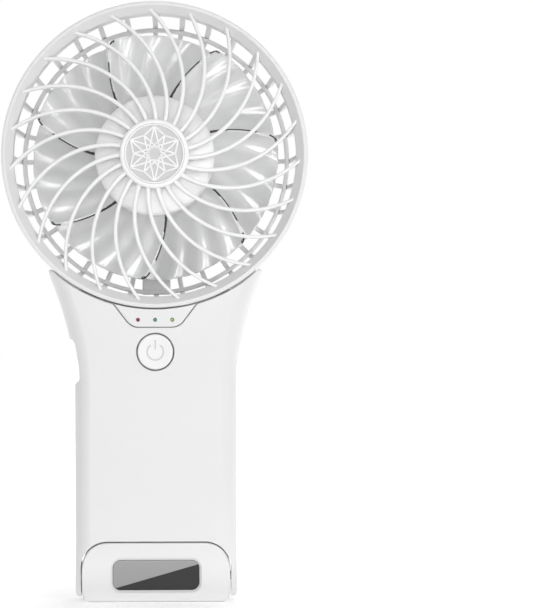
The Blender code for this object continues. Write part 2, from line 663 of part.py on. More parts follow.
def build_rear_cage():
    band_front = CAGE_FLANGE_FRONT + CAGE_BAND_LAP
    band = turned_mesh([(BAND_OUTER, band_front), (BAND_OUTER, CAGE_FLANGE_FRONT),
                        (HEAD_RADIUS, CAGE_FLANGE_FRONT), (HEAD_RADIUS, CAGE_FLANGE_REAR),
                        (BAND_INNER, CAGE_FLANGE_REAR), (BAND_INNER, band_front)],
                       CAGE_STEPS, ring=True)
    cage = add_part("rear_cage", band, WHITE_ABS, HEAD_FRAME)
    join_copies(cage, "bar", bar_mesh(), HEAD_FRAME, BAR_COUNT, -math.pi / 2)
    ring_front = REAR_RING_BACK + REAR_RING_DEPTH
    ring_inner = REAR_RING_RADIUS - REAR_RING_WALL
    ring = turned_mesh([(REAR_RING_RADIUS, ring_front), (REAR_RING_RADIUS, REAR_RING_BACK),
                        (ring_inner, REAR_RING_BACK), (ring_inner, ring_front)],
                       BAR_COUNT, ring=True)
    join(cage, "rear_ring", ring, HEAD_FRAME)
    tube_floor = SHAFT_BACK - SHAFT_END_GAP
    disc_rear = CAGE_REAR - MOTOR_DISC_PROUD
    mount = turned_mesh([(0, tube_floor), (TUBE_BORE, tube_floor), (TUBE_BORE, TUBE_FRONT),
                         (TUBE_RADIUS, TUBE_FRONT), (TUBE_RADIUS, STATOR_BACK - SEAT_GAP),
                         (SHOULDER_RADIUS, STATOR_BACK - SEAT_GAP),
                         (SHOULDER_RADIUS, CAGE_INNER_REAR), (MOTOR_DISC_RADIUS, CAGE_INNER_REAR),
                         (MOTOR_DISC_RADIUS, disc_rear), (0, disc_rear)], ROUND_STEPS)
    join(cage, "motor_mount", mount, HEAD_FRAME)
    low = -math.pi / 2 - SADDLE_HALF_ANGLE
    high = -math.pi / 2 + SADDLE_HALF_ANGLE
    saddle = outline_mesh(arc_points((0, 0), HEAD_RADIUS, low, high, SADDLE_STEPS)
                          + arc_points((0, 0), HEAD_RADIUS - SADDLE_WALL, high, low, SADDLE_STEPS),
                          GUSSET_BACK, CAGE_FLANGE_REAR + JOIN_LAP)
    join(cage, "saddle", saddle, HEAD_FRAME)
    conduit = box_mesh((-CONDUIT_WIDTH / 2, -REAR_RING_RADIUS, CAGE_REAR + CONDUIT_SET_IN),
                       (CONDUIT_WIDTH / 2, CONDUIT_LAP - MOTOR_DISC_RADIUS,
                        CAGE_INNER_REAR + CONDUIT_SET_IN))
    join(cage, "conduit", conduit, HEAD_FRAME)
    tongue = box_mesh((-TONGUE_WIDTH / 2, -HEAD_RADIUS - TONGUE_LENGTH, FRONT_SEAM),
                      (TONGUE_WIDTH / 2, -BAND_OUTER, TONGUE_FRONT - SEAT_GAP))
    join(cage, "tongue", tongue, HEAD_FRAME)


def blade_mesh():
    # A pitched blade: its front edge is counter-clockwise and its fluted face falls back clockwise
    columns = FLUTE_STEPS * FLUTE_COUNT
    root = SPINNER_RADIUS - SPINNER_WALL / 2
    work = bmesh.new()
    bmesh.ops.create_grid(work, x_segments=columns, y_segments=BLADE_ROWS, size=0.5)
    for vertex in work.verts:
        chord = vertex.co.x + 0.5
        reach = vertex.co.y + 0.5
        edge = min(chord, 1 - chord) * BLADE_SPAN * BLADE_TIP_RADIUS
        short = max(0.0, 1 - edge / BLADE_CORNER) ** 2 * BLADE_CORNER
        radius = root + (BLADE_TIP_RADIUS - short - root) * reach
        angle = BLADE_LEAN * (1 - reach) - BLADE_SPAN * chord
        flute = FLUTE_HEIGHT * reach * math.cos(2 * math.pi * FLUTE_COUNT * chord)
        depth = BLADE_FRONT - BLADE_WALL / 2 - FLUTE_HEIGHT - BLADE_DEPTH * chord + flute
        vertex.co = (radius * math.cos(angle), radius * math.sin(angle), depth)
    mesh = bpy.data.meshes.new("blade")
    work.to_mesh(mesh)
    work.free()
    obj = bpy.data.objects.new("blade", mesh)
    wall = obj.modifiers.new("wall", "SOLIDIFY")
    wall.thickness = BLADE_WALL
    wall.offset = 0.0
    return bake(obj)


def build_impeller():
    socket = BELL_RADIUS + SEAT_GAP
    socket_outer = socket + SOCKET_WALL
    socket_back = BELL_FRONT - SOCKET_DEPTH
    skirt = SPINNER_RADIUS - SPINNER_WALL
    shoulder = SPINNER_FRONT - SPINNER_CROWN
    boss = SHAFT_BORE + HUB_BOSS_WALL
    boss_back = SPINNER_FLOOR - HUB_BOSS_DEPTH
    web_back = SPINNER_FLOOR - SPINNER_WALL
    hub = turned_mesh([(0, SPINNER_FRONT), (SPINNER_RADIUS - SPINNER_ROUND, shoulder),
                       (SPINNER_RADIUS - SPINNER_ROUND / 4, shoulder - SPINNER_ROUND / 2),
                       (SPINNER_RADIUS, shoulder - SPINNER_ROUND),
                       (SPINNER_RADIUS, FAN_BACK), (skirt, FAN_BACK),
                       (skirt, web_back), (socket_outer, web_back),
                       (socket_outer, socket_back), (socket, socket_back),
                       (socket, SPINNER_FLOOR), (boss, SPINNER_FLOOR), (boss, boss_back),
                       (SHAFT_BORE, boss_back), (SHAFT_BORE, SPINNER_FLOOR), (0, SPINNER_FLOOR)],
                      4 * BLADE_COUNT)
    impeller = add_part("impeller", hub, FAN_ABS, FAN_AXIS)
    join_copies(impeller, "blade", blade_mesh(), FAN_AXIS, BLADE_COUNT, BLADE_FIRST)


def build_motor():
    bell_inner = BELL_RADIUS - BELL_WALL
    bell_floor = BELL_FRONT - BELL_WALL
    bell = turned_mesh([(SHAFT_BORE, BELL_FRONT), (BELL_RADIUS - BELL_EDGE, BELL_FRONT),
                        (BELL_RADIUS, BELL_FRONT - BELL_EDGE), (BELL_RADIUS, BELL_BACK),
                        (bell_inner, BELL_BACK), (bell_inner, bell_floor), (SHAFT_BORE, bell_floor)],
                       MOTOR_STEPS, ring=True)
    add_part("motor_bell", bell, STEEL, FAN_AXIS)
    magnet_inner = MAGNET_RADIUS - MAGNET_WALL
    magnet_front = bell_floor - SEAT_GAP
    magnet_back = BELL_BACK + MAGNET_SET_IN
    magnets = turned_mesh([(MAGNET_RADIUS, magnet_front), (MAGNET_RADIUS, magnet_back),
                           (magnet_inner, magnet_back), (magnet_inner, magnet_front)],
                          MOTOR_STEPS, ring=True)
    add_part("magnet_ring", magnets, MAGNET_GREY, FAN_AXIS)
    shaft = rod_mesh(SHAFT_RADIUS, SHAFT_BACK, SPINNER_FLOOR - SEAT_GAP, steps=PIN_STEPS)
    add_part("motor_shaft", shaft, STEEL, FAN_AXIS)
    pitch = 2 * math.pi / STATOR_TEETH
    tooth_sides = ((SHOULDER_RADIUS, -TOOTH_ROOT_SHARE), (STATOR_RADIUS, -TOOTH_TIP_SHARE),
                   (STATOR_RADIUS, TOOTH_TIP_SHARE), (SHOULDER_RADIUS, TOOTH_ROOT_SHARE))
    outline = []
    for tooth in range(STATOR_TEETH):
        for radius, share in tooth_sides:
            angle = pitch * (tooth + share)
            outline.append((radius * math.cos(angle), radius * math.sin(angle)))
    core = outline_mesh(outline, STATOR_BACK, STATOR_FRONT)
    stator = add_part("motor_stator", core, COPPER, HEAD_FRAME)
    bore = rod_mesh(TUBE_RADIUS + SEAT_GAP, STATOR_BACK - OVERCUT, STATOR_FRONT + OVERCUT,
                    steps=ROUND_STEPS)
    cut(stator, "bore", bore, HEAD_FRAME)
    for name, front in (("bearing_front", TUBE_FRONT - SEAT_GAP),
                        ("bearing_rear", SHAFT_BACK + BEARING_LENGTH + BEARING_SET_IN)):
        bush = turned_mesh([(BEARING_RADIUS, front), (BEARING_RADIUS, front - BEARING_LENGTH),
                            (SHAFT_BORE, front - BEARING_LENGTH), (SHAFT_BORE, front)],
                           SMALL_STEPS, ring=True)
        add_part(name, bush, BRONZE, HEAD_FRAME)
    board_back = CAGE_INNER_REAR + CONDUIT_SET_IN + SEAT_GAP
    board_front = board_back + BOARD_THICKNESS
    board_bore = SHOULDER_RADIUS + SEAT_GAP
    board = turned_mesh([(STATOR_RADIUS, board_front), (STATOR_RADIUS, board_back),
                         (board_bore, board_back), (board_bore, board_front)],
                        MOTOR_STEPS, ring=True)
    add_part("motor_board", board, BOARD_GREEN, HEAD_FRAME)


def island_outline(grow):
    # The indicator island: a rounded trapezoid that widens towards the head
    base = ISLAND_BASE - grow
    slope = (ISLAND_TOP_WIDTH - ISLAND_BASE_WIDTH) / 2 / ISLAND_RISE
    low_half = ISLAND_BASE_WIDTH / 2 + grow
    high_half = low_half + slope * (SHELL_TOP - base)
    return fillet_outline([(-low_half, base, ISLAND_CORNER), (low_half, base, ISLAND_CORNER),
                           (high_half, SHELL_TOP, 0), (-high_half, SHELL_TOP, 0)])


def port_oval(grow):
    # The charging socket's long oval in side view, grown for the openings round it
    half_depth = PORT_DEPTH / 2 + grow
    half_length = PORT_LENGTH / 2 + grow
    corner = PORT_ROUND * half_depth
    front = PORT_MIDDLE + half_depth
    back = PORT_MIDDLE - half_depth
    low = PORT_HEIGHT - half_length
    high = PORT_HEIGHT + half_length
    return fillet_outline([(back, low, corner), (front, low, corner),
                           (front, high, corner), (back, high, corner)], SMALL_FILLET_STEPS)


def mirror_outline(grow):
    corner = MIRROR_CORNER + grow
    return rounded_box(MIRROR_WIDTH / 2 + grow, MIRROR_LOW - grow, MIRROR_HIGH + grow, corner, corner)


def build_handle_front_shell():
    plan = rounded_box(HANDLE_HALF_WIDTH, FRONT_SEAM, HANDLE_FRONT, 0, HANDLE_CORNER)
    blank = outline_mesh(plan, HANDLE_BASE, SHELL_TOP, PLAN_VIEW)
    shell = add_part("handle_front_shell", blank, WHITE_ABS, BODY_FRAME)
    island = outline_mesh(island_outline(0.0), CAVITY_FRONT + JOIN_LAP, HANDLE_FRONT + ISLAND_PROUD)
    join(shell, "island", island, BODY_FRAME)
    cut(shell, "head_room", head_cutter(HEAD_CUT_RADIUS), BODY_FRAME)
    hollow = rounded_box(CAVITY_HALF_WIDTH, FRONT_SEAM - OVERCUT, CAVITY_FRONT, 0, CAVITY_CORNER,
                         SMALL_FILLET_STEPS)
    cut(shell, "hollow", outline_mesh(hollow, HANDLE_BASE - OVERCUT, CAVITY_TOP, PLAN_VIEW), BODY_FRAME)
    for index, spot in enumerate(SCREW_SPOTS[:2]):
        boss = rod_mesh(BOSS_RADIUS, FRONT_SEAM, CAVITY_FRONT + JOIN_LAP, spot)
        join(shell, f"boss_{index + 1}", boss, BODY_FRAME)
    pilot_end = SCREW_SEAT + SCREW_LENGTH + SEAT_GAP
    for index, spot in enumerate(SCREW_SPOTS):
        pilot = rod_mesh(SCREW_SHANK_RADIUS + SEAT_GAP, FRONT_SEAM - OVERCUT, pilot_end, spot)
        cut(shell, f"pilot_{index + 1}", pilot, BODY_FRAME)
    slot_half = TONGUE_WIDTH / 2 + SEAT_GAP
    slot = box_mesh((-slot_half, HEAD_BASE - TONGUE_LENGTH - SEAT_GAP, FRONT_SEAM - OVERCUT),
                    (slot_half, SHELL_TOP, TONGUE_FRONT))
    cut(shell, "tongue_slot", slot, BODY_FRAME)
    hole = rod_mesh(BUTTON_HOLE, CAVITY_FRONT - OVERCUT, HANDLE_FRONT + OVERCUT, (0, BUTTON_HEIGHT),
                    ROUND_STEPS)
    cut(shell, "button_hole", hole, BODY_FRAME)
    for index in (-1, 0, 1):
        hole = rod_mesh(LED_RADIUS + SEAT_GAP, CAVITY_FRONT - OVERCUT,
                        HANDLE_FRONT + ISLAND_PROUD + OVERCUT, (index * LED_PITCH, LED_HEIGHT))
        cut(shell, f"led_hole_{index + 2}", hole, BODY_FRAME)
    recess = outline_mesh(mirror_outline(SEAT_GAP), HANDLE_FRONT - MIRROR_THICKNESS - SEAT_GAP,
                          HANDLE_FRONT + OVERCUT)
    cut(shell, "mirror_recess", recess, BODY_FRAME)
    for name, grow, reach in (("port_slot", SEAT_GAP, HANDLE_WALL + OVERCUT),
                              ("port_recess", PORT_RECESS_EDGE, PORT_RECESS_DEPTH)):
        side = -HANDLE_HALF_WIDTH
        opening = outline_mesh(port_oval(grow), side - OVERCUT, side + reach, SIDE_VIEW)
        cut(shell, name, opening, BODY_FRAME)


def gusset_mesh():
    # The back of the neck, flaring rearwards under the cage in a hollow curve
    reach = HANDLE_BACK - GUSSET_BACK
    front = REAR_SEAM - JOIN_LAP
    outline = [(front, SHELL_TOP), (front, GUSSET_START)]
    for step in range(GUSSET_STEPS + 1):
        angle = math.pi / 2 * step / GUSSET_STEPS
        outline.append((HANDLE_BACK - reach * (1 - math.cos(angle)),
                        GUSSET_START + GUSSET_RISE * math.sin(angle)))
    outline.append((GUSSET_BACK, SHELL_TOP))
    mesh = outline_mesh(outline, -GUSSET_HALF_WIDTH, GUSSET_HALF_WIDTH, SIDE_VIEW)
    for vertex in mesh.vertices:
        share = max(0.0, (HANDLE_BACK - vertex.co.z) / reach)
        vertex.co.x *= 1 - GUSSET_TAPER * share
    return clean_mesh(mesh)


def build_handle_rear_shell():
    plan = rounded_box(COVER_HALF_WIDTH, HANDLE_BACK, REAR_SEAM, HANDLE_CORNER, 0)
    blank = outline_mesh(plan, HANDLE_BASE, SHELL_TOP, PLAN_VIEW)
    shell = add_part("handle_rear_shell", blank, WHITE_ABS, BODY_FRAME)
    join(shell, "gusset", gusset_mesh(), BODY_FRAME)
    cut(shell, "head_room", head_cutter(HEAD_CUT_RADIUS), BODY_FRAME)
    hollow = box_mesh((-CAVITY_HALF_WIDTH, HANDLE_BASE + HANDLE_WALL, CAVITY_BACK),
                      (CAVITY_HALF_WIDTH, CAVITY_TOP, REAR_SEAM + OVERCUT))
    cut(shell, "hollow", hollow, BODY_FRAME)
    for index, spot in enumerate(SCREW_SPOTS[:2]):
        boss = rod_mesh(BOSS_RADIUS, CAVITY_BACK - JOIN_LAP, REAR_SEAM, spot)
        join(shell, f"boss_{index + 1}", boss, BODY_FRAME)
    for index, spot in enumerate(SCREW_SPOTS):
        sink = rod_mesh(SCREW_HEAD_RADIUS + SEAT_GAP, HANDLE_BACK - OVERCUT, SCREW_SEAT + SEAT_GAP, spot,
                        PIN_STEPS)
        cut(shell, f"sink_{index + 1}", sink, BODY_FRAME)
        hole = rod_mesh(SCREW_SHANK_RADIUS + SEAT_GAP, HANDLE_BACK, REAR_SEAM + OVERCUT, spot)
        cut(shell, f"hole_{index + 1}", hole, BODY_FRAME)
    notch = fillet_outline([(-THROUGH, PORT_NOTCH_LOW, 0),
                            (-COVER_INNER, PORT_NOTCH_LOW + PORT_NOTCH_SLANT, PORT_NOTCH_CORNER),
                            (-COVER_INNER, PORT_NOTCH_HIGH - PORT_NOTCH_SLANT, PORT_NOTCH_CORNER),
                            (-THROUGH, PORT_NOTCH_HIGH, 0)], SMALL_FILLET_STEPS)
    cut(shell, "plug_notch", outline_mesh(notch, HANDLE_BACK - OVERCUT, REAR_SEAM + OVERCUT), BODY_FRAME)


def arch_rise(side):
    # Height of the cover's arch above the hinge, at a distance from the middle
    past = max(0.0, side - (ARCH_HALF_WIDTH - ARCH_CORNER))
    return ARCH_TOP - ARCH_CORNER + math.sqrt(ARCH_CORNER ** 2 - past ** 2) - HINGE_HEIGHT


def cover_inner_reach(side):
    # How far the cover's inner face stands in front of the hinge, round its corner too
    corner = COVER_CORNER - COVER_WALL
    past = max(0.0, side - (COVER_INNER - corner))
    return COVER_FRONT - COVER_CORNER + math.sqrt(corner ** 2 - past ** 2) - HINGE_FORWARD


def sweep_envelope():
    # The foot stays inside the path of the cover's arch as it swings about the hinge
    straight = ARCH_HALF_WIDTH - ARCH_CORNER
    profile = []
    for step in range(SWEEP_ROWS + 1):
        # Rows crowd towards the end, where the arch falls away fastest
        share = 1 - (1 - step / SWEEP_ROWS) ** 2
        side = straight + (FOOT_HALF_WIDTH - straight) * share
        edge = min(side + SWEEP_GAP, ARCH_HALF_WIDTH)
        profile.append((math.hypot(cover_inner_reach(edge), arch_rise(edge)) - SWEEP_GAP, side))
    outer = [(0, FOOT_HALF_WIDTH + OVERCUT), (profile[-1][0], FOOT_HALF_WIDTH + OVERCUT)]
    outer += profile[::-1]
    mirrored = [(radius, -side) for radius, side in outer[::-1]]
    mesh = turned_mesh(outer + mirrored, SWEEP_STEPS, axis=SIDE_VIEW)
    mesh.transform(Matrix.Translation((0, HINGE_HEIGHT, HINGE_FORWARD)))
    return mesh


def badge_outline(grow):
    corner = BADGE_CORNER + grow
    return rounded_box(BADGE_WIDTH / 2 + grow, BADGE_CENTRE - BADGE_HEIGHT / 2 - grow,
                       BADGE_CENTRE + BADGE_HEIGHT / 2 + grow, corner, corner)


def build_foot():
    front_outline = rounded_box(FOOT_HALF_WIDTH, 0, FOOT_HEIGHT, FOOT_BASE_CORNER, FOOT_TOP_CORNER)
    blank = outline_mesh(front_outline, FOOT_BACK, COVER_FRONT)
    foot = add_part("foot_block", blank, WHITE_ABS, BODY_FRAME)
    combine(foot, "INTERSECT", "sweep", sweep_envelope(), BODY_FRAME)
    plan = rounded_box(CAVITY_HALF_WIDTH - SEAT_GAP, FRONT_SEAM, CAVITY_FRONT - SEAT_GAP,
                       0, CAVITY_CORNER, SMALL_FILLET_STEPS)
    plug = outline_mesh(plan, FOOT_HEIGHT - PLUG_ROOT, FOOT_HEIGHT + PLUG_HEIGHT, PLAN_VIEW)
    join(foot, "plug", plug, BODY_FRAME)
    badge_back = COVER_FRONT - BADGE_THICKNESS
    recess = outline_mesh(badge_outline(SEAT_GAP), badge_back - SEAT_GAP, COVER_FRONT + OVERCUT)
    cut(foot, "badge_recess", recess, BODY_FRAME)
    window = outline_mesh(badge_outline(0.0), badge_back, COVER_FRONT)
    add_part("foot_window", window, BADGE_GLOSS, BODY_FRAME)
    hinge = (HINGE_FORWARD, HINGE_HEIGHT)
    outer = COVER_HALF_WIDTH - PIN_SET_IN
    inner = outer - PIN_LENGTH
    for name, side in (("left", -1), ("right", 1)):
        low, high = sorted((side * inner, side * outer))
        pin = rod_mesh(PIN_RADIUS, low, high, hinge, PIN_STEPS, SIDE_VIEW)
        add_part(f"hinge_pin_{name}", pin, STEEL, BODY_FRAME)
        low, high = sorted((side * (inner - SEAT_GAP), side * (outer + OVERCUT)))
        bore = rod_mesh(PIN_RADIUS + SEAT_GAP, low, high, hinge, PIN_STEPS, SIDE_VIEW)
        cut(foot, f"pin_bore_{name}", bore, BODY_FRAME)


def cover_half_width(height):
    run = max(0.0, (height - FLARE_START) / FLARE_LENGTH)
    return COVER_HALF_WIDTH + FLARE_REACH * run ** FLARE_POWER


def cover_section(height):
    # The cover's outer skin at one height, from the left wall's edge round the front to the right
    half = cover_half_width(height)
    corner = arc_points((COVER_CORNER - half, COVER_FRONT - COVER_CORNER), COVER_CORNER,
                        math.pi, math.pi / 2, FILLET_STEPS)
    left = [(-half, COVER_BACK), *corner]
    right = [(-side, depth) for side, depth in left[::-1]]
    return left + right


def cover_mesh():
    heights = [HINGE_HEIGHT - LUG_RADIUS - JOIN_LAP, HINGE_HEIGHT, FLARE_START]
    for step in range(1, FLARE_STEPS + 1):
        heights.append(FLARE_START + FLARE_LENGTH * step / FLARE_STEPS)
    sections = [cover_section(height) for height in heights]
    columns = len(sections[0]) - 1
    rows = len(heights) - 1
    work = bmesh.new()
    bmesh.ops.create_grid(work, x_segments=columns, y_segments=rows, size=0.5)
    for vertex in work.verts:
        column = round((vertex.co.x + 0.5) * columns)
        row = round((vertex.co.y + 0.5) * rows)
        side, depth = sections[row][column]
        vertex.co = (side, heights[row] - HINGE_HEIGHT, depth - HINGE_FORWARD)
    mesh = bpy.data.meshes.new("cover")
    work.to_mesh(mesh)
    work.free()
    obj = bpy.data.objects.new("cover", mesh)
    wall = obj.modifiers.new("wall", "SOLIDIFY")
    wall.thickness = COVER_WALL
    wall.offset = -1.0
    wall.use_even_offset = True
    return bake(obj)


def build_flip_cover():
    cover = add_part("flip_cover", cover_mesh(), WHITE_ABS, COVER_HINGE)
    cut(cover, "head_room", head_cutter(HEAD_RADIUS + COVER_HEAD_GAP), BODY_FRAME)
    behind = COVER_BACK - OVERCUT
    before = COVER_FRONT + OVERCUT
    arch = rounded_box(ARCH_HALF_WIDTH, -HINGE_HEIGHT, ARCH_TOP, 0, ARCH_CORNER)
    cut(cover, "arch", outline_mesh(arch, behind, before), BODY_FRAME)
    hinge = (HINGE_FORWARD, HINGE_HEIGHT)
    lug = arc_points(hinge, LUG_RADIUS, math.pi, 2 * math.pi, SMALL_STEPS)
    outside = [(-THROUGH, HINGE_HEIGHT), *lug, (THROUGH, HINGE_HEIGHT),
               (THROUGH, -THROUGH), (-THROUGH, -THROUGH)]
    cut(cover, "lugs", outline_mesh(outside, -THROUGH, THROUGH, SIDE_VIEW), BODY_FRAME)
    for name, side in (("left", -1), ("right", 1)):
        low, high = sorted((side * (COVER_INNER - OVERCUT), side * (COVER_HALF_WIDTH + OVERCUT)))
        hole = rod_mesh(PIN_RADIUS + RUNNING_GAP, low, high, hinge, MOTOR_STEPS, SIDE_VIEW)
        cut(cover, f"pin_hole_{name}", hole, BODY_FRAME)
    window = rod_mesh(BUTTON_RADIUS + BUTTON_GAP, HANDLE_FRONT - OVERCUT, before, (0, BUTTON_HEIGHT),
                      ROUND_STEPS)
    cut(cover, "button_window", window, BODY_FRAME)
    notch = outline_mesh(island_outline(SEAT_GAP), HANDLE_FRONT - OVERCUT, before)
    cut(cover, "island_notch", notch, BODY_FRAME)
    port = fillet_outline([(behind, PORT_NOTCH_LOW, 0),
                           (PORT_NOTCH_FRONT, PORT_NOTCH_LOW + PORT_NOTCH_SLANT, PORT_NOTCH_CORNER),
                           (PORT_NOTCH_FRONT, PORT_NOTCH_HIGH - PORT_NOTCH_SLANT, PORT_NOTCH_CORNER),
                           (behind, PORT_NOTCH_HIGH, 0)])
    opening = outline_mesh(port, -THROUGH, OVERCUT - HANDLE_HALF_WIDTH, SIDE_VIEW)
    cut(cover, "port_notch", opening, BODY_FRAME)


def build_controls():
    front = COVER_FRONT - BUTTON_SET_BACK
    flange = BUTTON_RADIUS + BUTTON_FLANGE
    button = turned_mesh([(0, front - BUTTON_DISH), (BUTTON_RADIUS - 2 * BUTTON_ROUND, front),
                          (BUTTON_RADIUS - BUTTON_ROUND, front), (BUTTON_RADIUS, front - BUTTON_ROUND),
                          (BUTTON_RADIUS, FLANGE_FRONT), (flange, FLANGE_FRONT),
                          (flange, FLANGE_REAR), (0, FLANGE_REAR)], ROUND_STEPS)
    add_part("power_button", button, BUTTON_ABS, BUTTON_AXIS)
    half = SWITCH_SIDE / 2
    body = box_mesh((-half, BUTTON_HEIGHT - half, SWITCH_BODY_FRONT - SWITCH_DEPTH),
                    (half, BUTTON_HEIGHT + half, SWITCH_BODY_FRONT))
    switch = add_part("tact_switch", body, SWITCH_BLACK, BODY_FRAME)
    plunger = rod_mesh(PLUNGER_RADIUS, SWITCH_BODY_FRONT - JOIN_LAP, SWITCH_FRONT, (0, BUTTON_HEIGHT))
    join(switch, "plunger", plunger, BODY_FRAME)
    for name, finish, side in (("led_red", LED_RED, -LED_PITCH), ("led_blue", LED_BLUE, 0.0),
                               ("led_green", LED_GREEN, LED_PITCH)):
        pipe = rod_mesh(LED_RADIUS, BOARD_FRONT + SEAT_GAP, HANDLE_FRONT + ISLAND_PROUD, (side, LED_HEIGHT))
        add_part(name, pipe, finish, BODY_FRAME)


def build_electronics():
    board = box_mesh((SEAT_GAP - CAVITY_HALF_WIDTH, MAIN_BOARD_LOW, BOARD_BACK),
                     (MAIN_BOARD_RIGHT, MAIN_BOARD_HIGH, BOARD_FRONT))
    add_part("main_board", board, BOARD_GREEN, BODY_FRAME)
    mouth = PORT_SET_IN - HANDLE_HALF_WIDTH
    can = outline_mesh(port_oval(0.0), mouth, mouth + PORT_REACH, SIDE_VIEW)
    socket = add_part("usb_socket", can, STEEL, BODY_FRAME)
    pocket = outline_mesh(port_oval(-PORT_WALL), mouth - OVERCUT, mouth + PORT_POCKET, SIDE_VIEW)
    cut(socket, "pocket", pocket, BODY_FRAME)
    half_length = PORT_TONGUE_LENGTH / 2
    half_depth = PORT_TONGUE_DEPTH / 2
    tongue = box_mesh((mouth + PORT_TONGUE_SET_IN, PORT_HEIGHT - half_length, PORT_MIDDLE - half_depth),
                      (mouth + PORT_POCKET + JOIN_LAP, PORT_HEIGHT + half_length, PORT_MIDDLE + half_depth))
    join(socket, "tongue", tongue, BODY_FRAME)
    cell = rounded_box(BATTERY_HALF_WIDTH, CAVITY_BACK + SEAT_GAP, CAVITY_FRONT - SEAT_GAP,
                       BATTERY_CORNER, BATTERY_CORNER)
    pack = outline_mesh(cell, BATTERY_LOW, BATTERY_HIGH, PLAN_VIEW)
    add_part("battery_cell", pack, CELL_FILM, BODY_FRAME)


def build_mirror():
    glass = outline_mesh(mirror_outline(0.0), HANDLE_FRONT - MIRROR_THICKNESS, HANDLE_FRONT)
    add_part("mirror", glass, MIRROR_GLASS, BODY_FRAME)


def build_screws():
    tip = SCREW_SEAT + SCREW_LENGTH
    for index, (side, height) in enumerate(SCREW_SPOTS):
        screw = turned_mesh([(0, tip), (SCREW_SHANK_RADIUS, tip - SCREW_POINT),
                             (SCREW_SHANK_RADIUS, SCREW_SEAT), (SCREW_HEAD_RADIUS, SCREW_SEAT),
                             (SCREW_HEAD_RADIUS, HANDLE_BACK + SCREW_HEAD_EDGE),
                             (SCREW_HEAD_RADIUS - SCREW_HEAD_EDGE, HANDLE_BACK),
                             (0, HANDLE_BACK)], SMALL_STEPS)
        screw.transform(Matrix.Translation((side, height, 0)))
        add_part(f"handle_screw_{index + 1}", screw, STEEL, BODY_FRAME)


build_front_grille()
build_hub_cap()
build_rear_cage()
build_impeller()
build_motor()
build_handle_front_shell()
build_handle_rear_shell()
build_foot()
build_flip_cover()
build_controls()
build_electronics()
build_mirror()
build_screws()
# The collections join the scene once everything is in them
bpy.context.scene.collection.children.link(PARTS)
bpy.context.scene.collection.children.link(CUTTERS)
bpy.context.view_layer.update()
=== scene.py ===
import math

import bmesh
import bpy
from mathutils import Matrix, Vector


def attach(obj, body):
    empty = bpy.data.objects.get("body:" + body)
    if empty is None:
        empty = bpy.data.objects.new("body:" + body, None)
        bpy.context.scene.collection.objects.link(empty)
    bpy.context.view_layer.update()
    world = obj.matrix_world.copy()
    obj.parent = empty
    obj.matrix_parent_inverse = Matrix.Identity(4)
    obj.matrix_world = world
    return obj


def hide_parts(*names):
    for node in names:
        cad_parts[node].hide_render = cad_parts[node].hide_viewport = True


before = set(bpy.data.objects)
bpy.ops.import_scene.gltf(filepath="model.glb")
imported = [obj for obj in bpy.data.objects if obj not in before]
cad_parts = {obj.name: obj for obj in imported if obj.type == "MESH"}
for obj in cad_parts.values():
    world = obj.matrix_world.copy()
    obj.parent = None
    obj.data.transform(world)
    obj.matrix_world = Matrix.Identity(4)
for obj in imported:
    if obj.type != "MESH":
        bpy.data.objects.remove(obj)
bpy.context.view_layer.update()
scene = bpy.context.scene
print("frame loaded,", len(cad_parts), "nodes")

# Shapes are drawn in millimetres as seen from the front: x right, y up, z towards the viewer
headHeight = 146.2
beyond = 60.0  # past the object on every side: where cuts that go right through start and end
intoFrame = Matrix.Rotation(math.pi / 2, 4, "X") @ Matrix.Scale(0.001, 4)
intoHead = intoFrame @ Matrix.Translation((0, headHeight, 0))
planView = Matrix(((1, 0, 0), (0, 0, 1), (0, 1, 0))).to_4x4()  # outline in right and forward, stacked upwards
sideView = Matrix(((0, 0, 1), (0, 1, 0), (1, 0, 0))).to_4x4()  # outline in forward and up, stacked to the right


def addNode(tree, kind, inputs=None, out=0, **settings):
    node = tree.nodes.new(kind)
    for key, value in settings.items():
        setattr(node, key, value)
    for key, value in (inputs or {}).items():
        if isinstance(value, bpy.types.NodeSocket):
            tree.links.new(value, node.inputs[key])
        else:
            node.inputs[key].default_value = value
    return node.outputs[out] if len(node.outputs) else node


def linear(hexText):
    channels = [int(hexText[i:i + 2], 16) / 255 for i in (1, 3, 5)]
    return (*[c / 12.92 if c <= 0.04045 else ((c + 0.055) / 1.055) ** 2.4 for c in channels], 1)


def tidy(mesh, weld=1e-4, sliver=1e-5):
    work = bmesh.new()
    work.from_mesh(mesh)
    bmesh.ops.remove_doubles(work, verts=work.verts, dist=weld)
    bmesh.ops.dissolve_degenerate(work, edges=work.edges, dist=sliver)
    bmesh.ops.recalc_face_normals(work, faces=work.faces)
    work.to_mesh(mesh)
    work.free()
    return mesh


def rounded(corners, steps=6):  # corners are (x, y, radius)
    outline = []
    for index, (x, y, radius) in enumerate(corners):
        corner = Vector((x, y))
        if radius <= 0:
            outline.append((x, y))
            continue
        before = (Vector(corners[index - 1][:2]) - corner).normalized()
        after = (Vector(corners[(index + 1) % len(corners)][:2]) - corner).normalized()
        half = before.angle(after) / 2
        centre = corner + (before + after).normalized() * (radius / math.sin(half))
        start = corner + before * (radius / math.tan(half)) - centre
        turn = -start.angle_signed(corner + after * (radius / math.tan(half)) - centre)
        for step in range(steps + 1):
            spun = Matrix.Rotation(turn * step / steps, 2) @ start
            outline.append((centre.x + spun.x, centre.y + spun.y))
    return outline


def roundedBox(halfWidth, low, high, corner, steps=6, highCorner=None):  # highCorner: if the upper two differ
    above = corner if highCorner is None else highCorner
    return rounded(
        [(-halfWidth, low, corner), (halfWidth, low, corner), (halfWidth, high, above),
            (-halfWidth, high, above)], steps)


def boxOutline(sizes, steps=10):  # an upright rounded box for stacked()
    return lambda grow: roundedBox(
        sizes["halfWidth"] + grow, sizes["low"] - grow, sizes["high"] + grow, sizes["corner"] + grow, steps)


